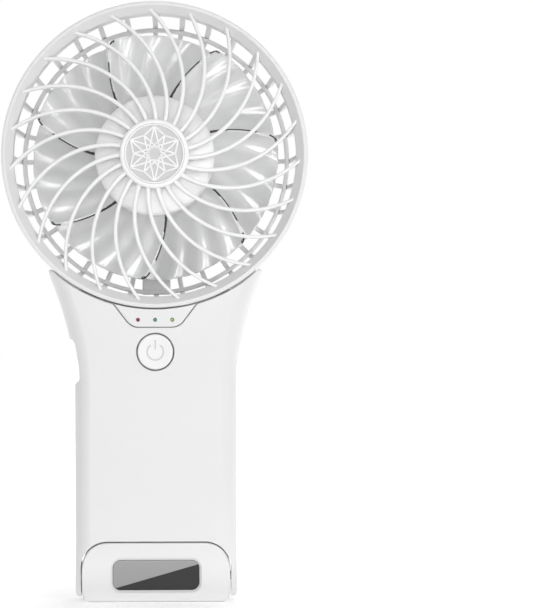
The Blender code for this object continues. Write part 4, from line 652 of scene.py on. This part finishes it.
grip = {
    "halfWidth": 24.4, "front": 8.9, "corner": 3.7, "wall": 1.8, "frontSeam": -3.35, "low": 19.8,
    "blankTop": 105.4, "cavityTop": 94.0, "edge": 0.3}
headGap = {"centre": (0, headHeight), "fit": 50.05, "room": 50.45, "slotFloor": 6.9, "ease": 0.25, "steps": 288}
island = {"low": 89.9, "halfLow": 7.7, "slope": 0.77, "corner": 5.0, "back": 7.6, "front": 10.9, "edge": 0.35}
button = {"height": 81.8, "hole": 6.1, "window": 6.2, "ease": 0.25}
light = {"height": 92.3, "pitch": 5.6, "radius": 0.55, "hole": 0.62, "ease": 0.15, "front": 10.9, "back": 2.4}
mirror = {
    "halfWidth": 16.0, "low": 22.8, "high": 72.8, "corner": 5.0, "front": 8.9, "back": 8.2, "seat": 7.9,
    "gap": 0.3, "edge": 0.3}
port = {
    "height": 78.8, "middle": -1.0, "length": 9.0, "depth": 3.2, "roundness": 0.98, "mouth": -24.0, "end": -16.7,
    "wall": 0.35, "pocketEnd": -18.5, "edge": 0.12, "gap": 0.3, "cutEnd": -20.6, "recess": 0.9,
    "recessLevels": ((-beyond, 0.25), (-0.05, 0.25), (0.2, 0), (0.8, -0.05))}
contact = {
    "halfDepth": 0.35, "halfLength": 3.3, "corner": 0.15, "levels": ((-23.0, -0.12), (-22.8, 0), (-18.1, 0))}
tongueSeat = {"halfWidth": 8.3, "low": 85.9, "front": -0.05, "corner": 0.3}
fixing = {
    "spots": ((-19.0, 27.0), (19.0, 27.0), (-20.6, 97.2), (20.6, 97.2)), "boss": 2.6, "bossFront": 7.6,
    "bossRear": -6.8, "pilot": 1.2, "pilotEnd": 2.6}
bossSpots = fixing["spots"][:2]


def islandOutline(grow):
    low, half = island["low"] - grow, island["halfLow"] + grow
    wide = half + island["slope"] * (grip["blankTop"] - low)
    return rounded(
        [(-half, low, island["corner"]), (half, low, island["corner"]), (wide, grip["blankTop"], 0),
            (-wide, grip["blankTop"], 0)], 10)


def portBox(halfDepth, halfLength, corner, steps=10):  # an upright box at the socket, seen from the side
    box = roundedBox(halfDepth, port["height"] - halfLength, port["height"] + halfLength, corner, steps)
    return [(port["middle"] + depth, height) for depth, height in box]


def portOutline(grow):
    halfDepth = port["depth"] / 2 + grow
    return portBox(halfDepth, port["length"] / 2 + grow, port["roundness"] * halfDepth)


mirrorOutline = boxOutline(mirror)
frontBlank = stacked(
    lambda grow: roundedBox(grip["halfWidth"] + grow, grip["frontSeam"], grip["front"] + grow, 0, 10,
        grip["corner"]), tapered(grip["low"], grip["edge"]) + [(grip["blankTop"], 0)], planView)
islandMesh = plate(islandOutline, island)
innerHalf = grip["halfWidth"] - grip["wall"]
cavity = prism(
    roundedBox(innerHalf, -beyond, grip["front"] - grip["wall"], 0, highCorner=grip["corner"] - grip["wall"]),
    -beyond, grip["cavityTop"], planView)
bosses = [rod(fixing["boss"], spot, grip["frontSeam"], fixing["bossFront"]) for spot in bossSpots]
pilots = [rod(fixing["pilot"], spot, -beyond, fixing["pilotEnd"]) for spot in fixing["spots"]]
tongueSlot = prism(
    roundedBox(tongueSeat["halfWidth"], tongueSeat["low"], headHeight, tongueSeat["corner"], 2), -beyond,
    tongueSeat["front"])
lightHoles = [
    roundCutter(light["hole"], (i * light["pitch"], light["height"]), island["front"], light["ease"], 32)
    for i in (-1, 0, 1)]
buttonHole = roundCutter(button["hole"], (0, button["height"]), grip["front"], button["ease"], 96)
mirrorSeat = stacked(
    lambda grow: mirrorOutline(mirror["gap"] + grow), eased(mirror["seat"], grip["front"], mirror["edge"], 1))
portCut = [
    prism(portOutline(port["gap"]), -beyond, port["cutEnd"], sideView),
    stacked(lambda grow: portOutline(port["recess"] + grow),
        [(level - grip["halfWidth"], grow) for level, grow in port["recessLevels"]], sideView)]
headSeat = rod(headGap["fit"], headGap["centre"], -beyond, beyond, headGap["steps"])
headSlot = roundCutter(
    headGap["room"], headGap["centre"], island["front"], headGap["ease"], headGap["steps"], headGap["slotFloor"])
frontShell = carved(carved(frontBlank, [islandMesh], "UNION"), [headSeat, headSlot, cavity])
frontShell = carved(
    carved(frontShell, bosses, "UNION"), pilots + [tongueSlot, buttonHole, mirrorSeat] + lightHoles + portCut)
piece("handleFrontShell", frontShell, whiteAbs, ["handle_front_shell"])

back = {
    "halfWidth": 26.5, "rear": -8.1, "seam": -3.65, "corner": 3.7, "seamRound": 0.25, "wall": 1.8,
    "cavityRound": 0.6, "edge": 0.35}
notch = {
    "low": 71.0, "high": 86.6, "slant": 0.6, "corner": 2.0, "coverFront": 9.4, "coverBack": -6.0,
    "coverInner": -22.0, "handleSide": -24.7}
neck = {
    "start": 74.0, "rise": 23.0, "rows": 30, "front": -4.25, "frontRound": 0.2, "root": -7.7, "rear": -24.0,
    "halfWidth": 17.0, "taper": 0.3, "corner": 3.5, "cornerShare": 0.45}
screw = {
    "rear": -8.1, "seat": -6.7, "point": 1.7, "tip": 2.3, "head": 2.1, "rounding": 0.55, "shank": 0.9, "gap": 0.3,
    "ease": 0.25, "slotLength": 2.3, "slotWidth": 0.55, "slotCorner": 0.1,
    "slotLevels": ((-8.6, 0.1), (-7.3, -0.12))}


def notchOutline(far, side):  # the cut for the charging plug, a little narrower inwards
    return rounded(
        [(far, notch["low"], 0), (side, notch["low"] + notch["slant"], notch["corner"]),
            (side, notch["high"] - notch["slant"], notch["corner"]), (far, notch["high"], 0)], 8)


def neckSection(height):  # the neck's plan at one height: it grows rearwards in a hollow curve
    share = min(1.0, max(0.0, (height - neck["start"]) / neck["rise"]))
    flare = 1 - math.sqrt(1 - share ** 2)
    rear = neck["root"] - (neck["root"] - neck["rear"]) * flare
    wide, narrow = neck["halfWidth"], neck["halfWidth"] * (1 - neck["taper"] * flare)
    corner = min(neck["corner"], (neck["front"] - rear) * neck["cornerShare"])
    return [
        (x, height, d) for x, d in rounded([(-wide, neck["front"], neck["frontRound"]),
            (wide, neck["front"], neck["frontRound"]), (narrow, rear, corner), (-narrow, rear, corner)], 8)]


neckRows = [
    neck["start"] + neck["rise"] * math.sin(math.pi / 2 * i / neck["rows"]) for i in range(neck["rows"] + 1)]
neckMesh = skinned([neckSection(height) for height in neckRows + [grip["blankTop"]]])
rearBlank = stacked(
    lambda grow: roundedBox(back["halfWidth"] + grow, back["rear"] - grow, back["seam"], back["corner"], 10,
        back["seamRound"]), tapered(grip["low"], back["edge"]) + [(grip["blankTop"], 0)], planView)
rearCavity = prism(
    roundedBox(innerHalf, grip["low"] + back["wall"], grip["cavityTop"], back["cavityRound"], 3),
    back["rear"] + back["wall"], 0)
headBore = rod(headGap["room"], headGap["centre"], -beyond, beyond, headGap["steps"])
rearBosses = [rod(fixing["boss"], spot, fixing["bossRear"], back["seam"]) for spot in bossSpots]
sinkLevels = [
    (-level, grow) for level, grow in eased(-screw["seat"] - screw["gap"], -back["rear"], screw["ease"], 1)]
sinks = []
for spot in fixing["spots"]:
    sinks.append(stacked(discOutline(screw["head"] + screw["gap"], spot, 48), sinkLevels))
    sinks.append(rod(fixing["pilot"], spot, -beyond, 0))
plugNotch = prism(notchOutline(-beyond, notch["handleSide"]), -beyond, 0)
rearShell = carved(carved(rearBlank, [neckMesh], "UNION"), [headBore, rearCavity])
rearShell = carved(carved(rearShell, rearBosses, "UNION"), sinks + [plugNotch])
piece("handleRearShell", rearShell, whiteAbs, ["handle_rear_shell"])

screwMesh = turned(
    sized(screw, (0, "tip", 0), ("shank", "point", 0), ("shank", "seat", 0), ("head", "seat", 0.1),
        ("head", "rear", "rounding"), (0, "rear", 0)), 40)
crossCuts = []
for turn in (0, math.pi / 2):
    cut = stacked(
        lambda grow: roundedBox(screw["slotLength"] / 2 + grow, -screw["slotWidth"] / 2 - grow,
            screw["slotWidth"] / 2 + grow, screw["slotCorner"], 2), screw["slotLevels"])
    cut.transform(Matrix.Rotation(turn, 4, "Z"))
    crossCuts.append(cut)
screwsMesh = copied(carved(screwMesh, crossCuts), 4, 0.0, zincSteel, [(x, y, 0) for x, y in fixing["spots"]])
piece("handleScrews", screwsMesh, zincSteel, [f"handle_screw_{i}" for i in (1, 2, 3, 4)])

piece("mirrorPlate", plate(mirrorOutline, mirror), mirrorGlass, ["mirror"])

socketBody = stacked(
    portOutline, [(port["mouth"], -port["edge"]), (port["mouth"] + port["edge"], 0), (port["end"], 0)], sideView)
pocket = prism(portOutline(-port["wall"]), -beyond, port["pocketEnd"], sideView)
piece("usbShell", carved(socketBody, [pocket]), nickelSteel, ["usb_socket"])
contactMesh = stacked(
    lambda grow: portBox(contact["halfDepth"] + grow, contact["halfLength"] + grow, contact["corner"], 3),
    contact["levels"], sideView)
piece("usbTongue", contactMesh, switchNylon, ["usb_socket"])

for name, finish, node, side in (("lightRed", redLens, "led_red", -1), ("lightTeal", tealLens, "led_blue", 0),
                                 ("lightGreen", greenLens, "led_green", 1)):
    lens = turned(
        sized(light, (0, "front", 0), ("radius", "front", 0.32), ("radius", "back", 0.1), (0, "back", 0)), 40)
    lens.transform(Matrix.Translation((side * light["pitch"], light["height"], 0)))
    piece(name, lens, finish, [node])

# Foot with its glossy window and the hinge pins

hinge = {
    "forward": 3.0, "height": 8.0, "pin": 1.5, "inner": 17.2, "outer": 26.2, "edge": 0.25, "bore": 1.8,
    "boreEnd": 16.9}
hingeSpot = (hinge["forward"], hinge["height"])
foot = {
    "halfWidth": 24.3, "high": 19.5, "back": -5.6, "backEdge": 0.6, "front": 11.0, "frontEdge": 0.5, "rim": 2.0,
    "topCorner": 8.4, "baseCorner": 3.0, "baseRound": 2.2, "gap": 0.3, "plugHalf": 22.3, "plugFront": 6.8,
    "plugCorner": 1.9, "plugLow": 15.5, "plugHigh": 23.5, "plugEdge": 0.4}
cover = {
    "halfWidth": 26.5, "front": 11.0, "back": -3.3, "corner": 5.5, "wall": 1.8, "rim": 0.5, "rimShare": 0.45,
    "flareStart": 72.0, "flareLength": 36.6, "flareReach": 9.0, "flarePower": 1.75, "earStart": 105.0,
    "earTrim": 0.5, "top": 108.9, "tipRound": 0.85, "tipEnd": 0.995, "low": 1.15, "legRound": 2.8, "legTrim": 1.3,
    "lug": 6.8, "pinHole": 1.65, "headRoom": 50.62, "archHalf": 24.6, "archTop": 19.8, "archCorner": 8.7,
    "archTrim": 0.02, "edge": 0.35, "islandGap": 0.17, "islandEase": 0.2,
    "rows": [5, 8, 14, 20, 30, 40, 50, 60, 66], "legRows": 8, "flareRows": 48, "tipRows": 6}
earWall = {
    "inner": 50.05, "outer": 51.9, "start": math.radians(29.5), "end": math.radians(41.2), "back": 3.0,
    "front": 8.8}
window = {
    "halfWidth": 14.1, "low": 4.05, "high": 13.75, "corner": 2.5, "front": 10.25, "back": 9.6, "edge": 0.3,
    "gap": 0.08, "splitHeight": 8.45, "splitSlope": 0.287, "splitBlur": 0.08,
    "seatLevels": ((9.5, 0), (10.15, 0), (10.27, 0.06), (10.96, 0.8), (11.05, 1.0), (14.0, 1.0))}


def footOutline(grow):
    return roundedBox(
        foot["halfWidth"] + grow, -grow, foot["high"] + grow, foot["baseCorner"] + grow, 12,
        foot["topCorner"] + grow)


def hingeSweep(side, gap, overhang=0.0):  # the round about the hinge that the arch's edge follows, out to a side
    straight, flat = cover["archHalf"] - cover["archCorner"], cover["halfWidth"] - cover["corner"]
    profile, steps = [], 16
    for i in range(steps + 1):
        x = straight + (side - straight) * (1 - (1 - i / steps) ** 2)
        edge = min(x + gap, cover["archHalf"])
        rise = (
            cover["archTop"] - cover["archCorner"] - hinge["height"]
            + math.sqrt(max(0.0, cover["archCorner"] ** 2 - max(0.0, edge - straight) ** 2)))
        reach = (
            cover["front"] - cover["corner"] - hinge["forward"]
            + math.sqrt(cover["corner"] ** 2 - max(0.0, edge - flat) ** 2))
        profile.append((math.hypot(reach, rise) - gap, x, 0))
    ends = [(profile[-1][0], side + overhang, 0)] if overhang else []
    outer = [(0, side + overhang, 0)] + ends + profile[::-1]
    mesh = turned(outer + [(r, -x, rounding) for r, x, rounding in outer[::-1]], 120)
    mesh.transform(Matrix.Translation((0, hinge["height"], hinge["forward"])) @ sideView)
    return tidy(mesh)


footBlank = stacked(
    footOutline, tapered(foot["back"], foot["backEdge"])
    + eased(foot["front"] - foot["rim"], foot["front"], foot["frontEdge"], steps=6))
footProfile = prism(
    rounded([(-beyond, 0, 0), (foot["front"], 0, foot["baseRound"]), (foot["front"], beyond, 0),
        (-beyond, beyond, 0)], 8), -beyond, beyond, sideView)
footMesh = carved(footBlank, [hingeSweep(foot["halfWidth"], foot["gap"], beyond), footProfile], "INTERSECT")
plug = stacked(
    lambda grow: roundedBox(foot["plugHalf"] + grow, grip["frontSeam"], foot["plugFront"] + grow, 0,
        highCorner=foot["plugCorner"]),
    [(foot["plugLow"], 0), (foot["plugHigh"] - foot["plugEdge"], 0), (foot["plugHigh"], -foot["plugEdge"])],
    planView)
windowOutline = boxOutline(window)
windowSeat = stacked(lambda grow: windowOutline(window["gap"] + grow), window["seatLevels"])
pinBores = [
    rod(hinge["bore"], hingeSpot, *sorted((side * hinge["boreEnd"], side * beyond)), 40, sideView)
    for side in (-1, 1)]
footMesh = carved(carved(footMesh, [plug], "UNION"), [windowSeat] + pinBores)
piece("footBlock", footMesh, footAbs, ["foot_block"])

# Window: smoked acrylic, polished, its colour split along a slant: lighter above the line, darker below
windowGlass = surface("smoked_window_acrylic", ("#3A3A3A", "#404040"), (0.07, 0.12), 3, 0.0006, 9, IOR=1.49)
windowTree = windowGlass.node_tree
windowPlace = addNode(windowTree, "ShaderNodeTexCoord", out="Object")
split = addNode(
    windowTree, "ShaderNodeMapping", {"Vector": windowPlace, "Location": (0, 0, -window["splitHeight"] / 1000)})
splitParts = addNode(windowTree, "ShaderNodeSeparateXYZ", {"Vector": split}).node.outputs
slope = addNode(
    windowTree, "ShaderNodeMath", {0: splitParts["X"], 1: -window["splitSlope"], 2: splitParts["Z"]},
    operation="MULTIPLY_ADD")
above = addNode(
    windowTree, "ShaderNodeMapRange",
    {"Value": slope, "From Min": -window["splitBlur"] / 1000, "From Max": window["splitBlur"] / 1000})
tones = addNode(
    windowTree, "ShaderNodeMix", {"Factor": above, 6: linear("#363636"), 7: linear("#9E9E9E")}, 2,
    data_type="RGBA")
windowTree.links.new(tones, windowTree.nodes["Principled BSDF"].inputs["Base Color"])
piece("footWindow", plate(windowOutline, window), windowGlass, ["foot_window"])

for name, node, side in (("hingePinLeft", "hinge_pin_left", -1), ("hingePinRight", "hinge_pin_right", 1)):
    ends = sorted((side * hinge["inner"], side * hinge["outer"]))
    pin = stacked(discOutline(hinge["pin"], hingeSpot, 48), bothEased(*ends, hinge["edge"]), sideView)
    piece(name, pin, zincSteel, [node])

# Flip cover: a flared shell with rounded rims


def coverSection(height, filled=False):
    run = max(0.0, (height - cover["flareStart"]) / cover["flareLength"])
    ear = max(0.0, (height - cover["earStart"]) / (cover["top"] - cover["earStart"]))
    half = cover["halfWidth"] + cover["flareReach"] * run ** cover["flarePower"] - cover["earTrim"] * ear ** 2
    slope = cover["flareReach"] * cover["flarePower"] * run ** (cover["flarePower"] - 1) / cover["flareLength"]
    over = max(0.0, height - (cover["top"] - cover["tipRound"]))
    inset = cover["tipRound"] - math.sqrt(cover["tipRound"] ** 2 - over ** 2)
    side = cover["wall"] * math.sqrt(1 + slope ** 2)
    drop = max(0.0, 1 - (height - cover["low"]) / cover["legRound"])
    trim = cover["legTrim"] * (1 - math.sqrt(1 - drop ** 2))
    rim = min(cover["rim"], (cover["wall"] - 2 * inset - trim) * cover["rimShare"])
    outer, inner = half - inset - trim, half - side + inset
    front, lining = cover["front"] - inset, cover["front"] - cover["wall"] + inset
    low, corner = cover["back"] + inset, cover["corner"]
    corners = [(-outer, low, rim), (-outer, front, corner), (outer, front, corner), (outer, low, rim)]
    if not filled:
        corners += [
            (inner, low, rim), (inner, lining, corner - cover["wall"]), (-inner, lining, corner - cover["wall"]),
            (-inner, low, rim)]
    return [(x, height, d) for x, d in rounded(corners, 10)]


def earWallMesh(side):  # the wall that closes an ear towards the head
    start, end = (-math.pi / 2 + side * earWall[key] for key in ("start", "end"))
    strip = (
        arc(headGap["centre"], earWall["outer"], start, end, 24)
        + arc(headGap["centre"], earWall["inner"], end, start, 24))
    return prism(strip, earWall["back"], earWall["front"])


tipStart = cover["top"] - cover["tipRound"]
legShares, flareShares, tipShares = (
    [i / cover[key] for i in range(cover[key] + 1)] for key in ("legRows", "flareRows", "tipRows"))
coverRows = [cover["low"] + cover["legRound"] * share ** 2 for share in legShares] + cover["rows"]
coverRows += [cover["flareStart"] + (tipStart - cover["flareStart"]) * share for share in flareShares]
coverRows += [
    tipStart + cover["tipRound"] * math.sin(math.pi / 2 * share) * cover["tipEnd"] for share in tipShares[1:]]
coverMesh, coverBlank = (
    skinned([coverSection(height, filled) for height in coverRows]) for filled in (False, True))
archCut = stacked(
    lambda grow: roundedBox(cover["archHalf"] + grow, -beyond, cover["archTop"] + grow, 0, 16,
        cover["archCorner"] + grow), eased(-beyond, cover["front"], cover["edge"], 1))
lugRound = arc(hingeSpot, cover["lug"], math.pi, 2 * math.pi, 40)
lugCut = prism(
    [(-beyond, hinge["height"]), *lugRound, (beyond, hinge["height"]), (beyond, -beyond), (-beyond, -beyond)],
    -beyond, beyond, sideView)
pinHole = rod(cover["pinHole"], hingeSpot, -beyond, beyond, 48, sideView)
headCut = roundCutter(cover["headRoom"], headGap["centre"], cover["front"], cover["edge"], headGap["steps"])
buttonWindow = roundCutter(button["window"], (0, button["height"]), cover["front"], cover["edge"], 120)
islandCut = stacked(
    lambda grow: islandOutline(cover["islandGap"] + grow), eased(-beyond, cover["front"], cover["islandEase"], 1))
portNotch = prism(notchOutline(notch["coverBack"], notch["coverFront"]), -beyond, notch["coverInner"], sideView)
archSweep = hingeSweep(cover["archHalf"] - cover["archTrim"], 0.0)
coverMesh = carved(coverMesh, [headCut, archCut, lugCut, buttonWindow, islandCut, portNotch, archSweep, pinHole])
for side in (-1, 1):
    coverMesh = carved(coverMesh, [carved(earWallMesh(side), [coverBlank], "INTERSECT")], "UNION")
piece("flipCover", coverMesh, whiteAbs, ["flip_cover"], body="cover")

# Power button with its sunk symbol

press = {
    "radius": 5.85, "front": 10.7, "dish": 0.3, "dishRadius": 5, "rounding": 0.55, "flange": 7.2,
    "flangeFront": 6.8, "flangeBack": 5.8, "flangeEdge": 0.2}
symbol = {
    "radius": 2.65, "gap": math.radians(37), "line": 0.5, "barLow": 1.0, "barHigh": 3.7, "floor": 10.24,
    "levels": ((0, -0.08), (0.1, 0), (1.46, 0.1)), "inkLine": 0.44,
    "inkLevels": ((-0.2, -0.05), (0.04, 0), (0.08, -0.04))}

buttonTop = [
    (i, press["front"] - press["dish"] * (1 - (i / press["dishRadius"]) ** 2), 0)
    for i in range(press["dishRadius"] + 1)]
buttonMesh = turned(
    buttonTop + sized(press, ("radius", "front", "rounding"), ("radius", "flangeFront", 0),
        ("flange", "flangeFront", "flangeEdge"), ("flange", "flangeBack", "flangeEdge"), (0, "flangeBack", 0)),
    120)
openRing = arc((0, 0), symbol["radius"], math.pi / 2 + symbol["gap"], math.pi * 5 / 2 - symbol["gap"], 56)
penPaths = [openRing, [(0, symbol["barLow"]), (0, symbol["barHigh"])]]
grooveLevels, inkLevels = (
    [(symbol["floor"] + rise, grow) for rise, grow in symbol[key]] for key in ("levels", "inkLevels"))
grooves = [penLine(path, symbol["line"], grooveLevels) for path in penPaths]
inkLines = [penLine(path, symbol["inkLine"], inkLevels) for path in penPaths]
buttonMesh = carved(buttonMesh, grooves)
inkMesh = carved(inkLines[0], inkLines[1:], "UNION")
atButton = intoFrame @ Matrix.Translation((0, button["height"], 0))
piece("powerButton", buttonMesh, buttonAbs, ["power_button"], atButton, body="button")
piece("powerSymbol", inkMesh, inkGrey, ["power_button"], atButton, body="button")

# Nodes that keep their shape take a better finish

for node, finish in (("motor_stator", copperWire), ("bearing_front", bronze), ("bearing_rear", bronze),
                     ("motor_board", solderMask), ("main_board", solderMask), ("tact_switch", switchNylon),
                     ("battery_cell", cellFilm)):
    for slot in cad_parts[node].material_slots:
        slot.material = finish
print("kept nodes refinished")

# Studio: white floor and background, a broad lamp by the camera, a key at the right, a low lamp, fill and rim

studio = {
    "camera": (0.0099, -0.702, 0.0974), "lens": 125.4, "shift": 0.1334, "roll": math.radians(0.2),
    "floor": (-0.025, 3.0), "ambient": 0.5, "floorGlow": (0.3, 1.0), "glowReach": (0.03, 0.22),
    "aim": (0, 0, 0.11)}

camera = bpy.data.cameras.new("camera")
camera.lens, camera.sensor_width, camera.shift_x = studio["lens"], 36.0, studio["shift"]
cameraObject = bpy.data.objects.new("camera", camera)
cameraObject.location = studio["camera"]
cameraObject.rotation_euler = (math.pi / 2, studio["roll"], 0)
scene.collection.objects.link(cameraObject)
scene.camera = cameraObject

# Floor: matt paper that glows as if lit from below, weakly near the fan and fully away from it, so that it fades
# into the background; the weaker glow round the fan is painted shade, which lets the real shadow under it show
floorPaper = surface(
    "white_floor_paper", ("#F4F4F4", "#F8F8F8"), (0.85, 0.95), 3, 0.01, 60,
    **{"Specular IOR Level": 0.0, "Emission Color": (1, 1, 1, 1)})
paperTree = floorPaper.node_tree
paperPlace = addNode(paperTree, "ShaderNodeTexCoord", out="Object")
paperAway = addNode(paperTree, "ShaderNodeVectorMath", {0: paperPlace}, "Value", operation="LENGTH")
paperGlowAndShade = addNode(
    paperTree, "ShaderNodeMapRange",
    {"Value": paperAway, "From Min": studio["glowReach"][0], "From Max": studio["glowReach"][1],
        "To Min": studio["floorGlow"][0], "To Max": studio["floorGlow"][1]})
paperTree.links.new(paperGlowAndShade, paperTree.nodes["Principled BSDF"].inputs["Emission Strength"])
near, far = studio["floor"]
for name, low, high in (("floor", near, far), ("floorFront", -far, near)):
    floorMesh = bpy.data.meshes.new(name)
    floorMesh.from_pydata([(-far, low, 0), (far, low, 0), (far, high, 0), (-far, high, 0)], [], [(0, 1, 2, 3)])
    floorMesh.materials.append(floorPaper)
    helper(floorMesh, name)
apron = bpy.data.objects["floorFront"]  # seen only, so that the low lamp reaches the front past it
apron.visible_shadow = apron.visible_diffuse = apron.visible_glossy = apron.visible_transmission = False

world = bpy.data.worlds.new("studio")
world.use_nodes = True
scene.world = world
tree = world.node_tree
sky = tree.nodes["Background"]
seen = addNode(tree, "ShaderNodeBackground", {"Color": (1, 1, 1, 1), "Strength": 1.0})
sky.inputs["Color"].default_value = (1, 1, 1, 1)
sky.inputs["Strength"].default_value = studio["ambient"]
path = addNode(tree, "ShaderNodeLightPath", out="Is Camera Ray")
either = addNode(tree, "ShaderNodeMixShader", {0: path, 1: sky.outputs[0], 2: seen})
tree.links.new(either, tree.nodes["World Output"].inputs["Surface"])

lamps = {
    "front": ((0.04, -1.30, 0.17), 0.42, 3.8), "key": ((0.62, -0.62, 0.30), 0.30, 1.6),
    "low": ((0.30, -0.65, -0.35), 0.30, 1.4), "fill": ((-0.60, -0.55, 0.25), 0.5, 0.5),
    "rim": ((0.15, 0.45, 0.55), 0.4, 1.0)}
for name, (spot, size, watts) in lamps.items():
    lamp = bpy.data.lights.new(name, "AREA")
    lamp.shape, lamp.size, lamp.energy = "SQUARE", size, watts
    lampObject = bpy.data.objects.new(name, lamp)
    lampObject.location = spot
    lampObject.rotation_euler = (Vector(studio["aim"]) - lampObject.location).to_track_quat("-Z", "Y").to_euler()
    scene.collection.objects.link(lampObject)
scene.view_settings.view_transform = "Standard"
print("studio ready")
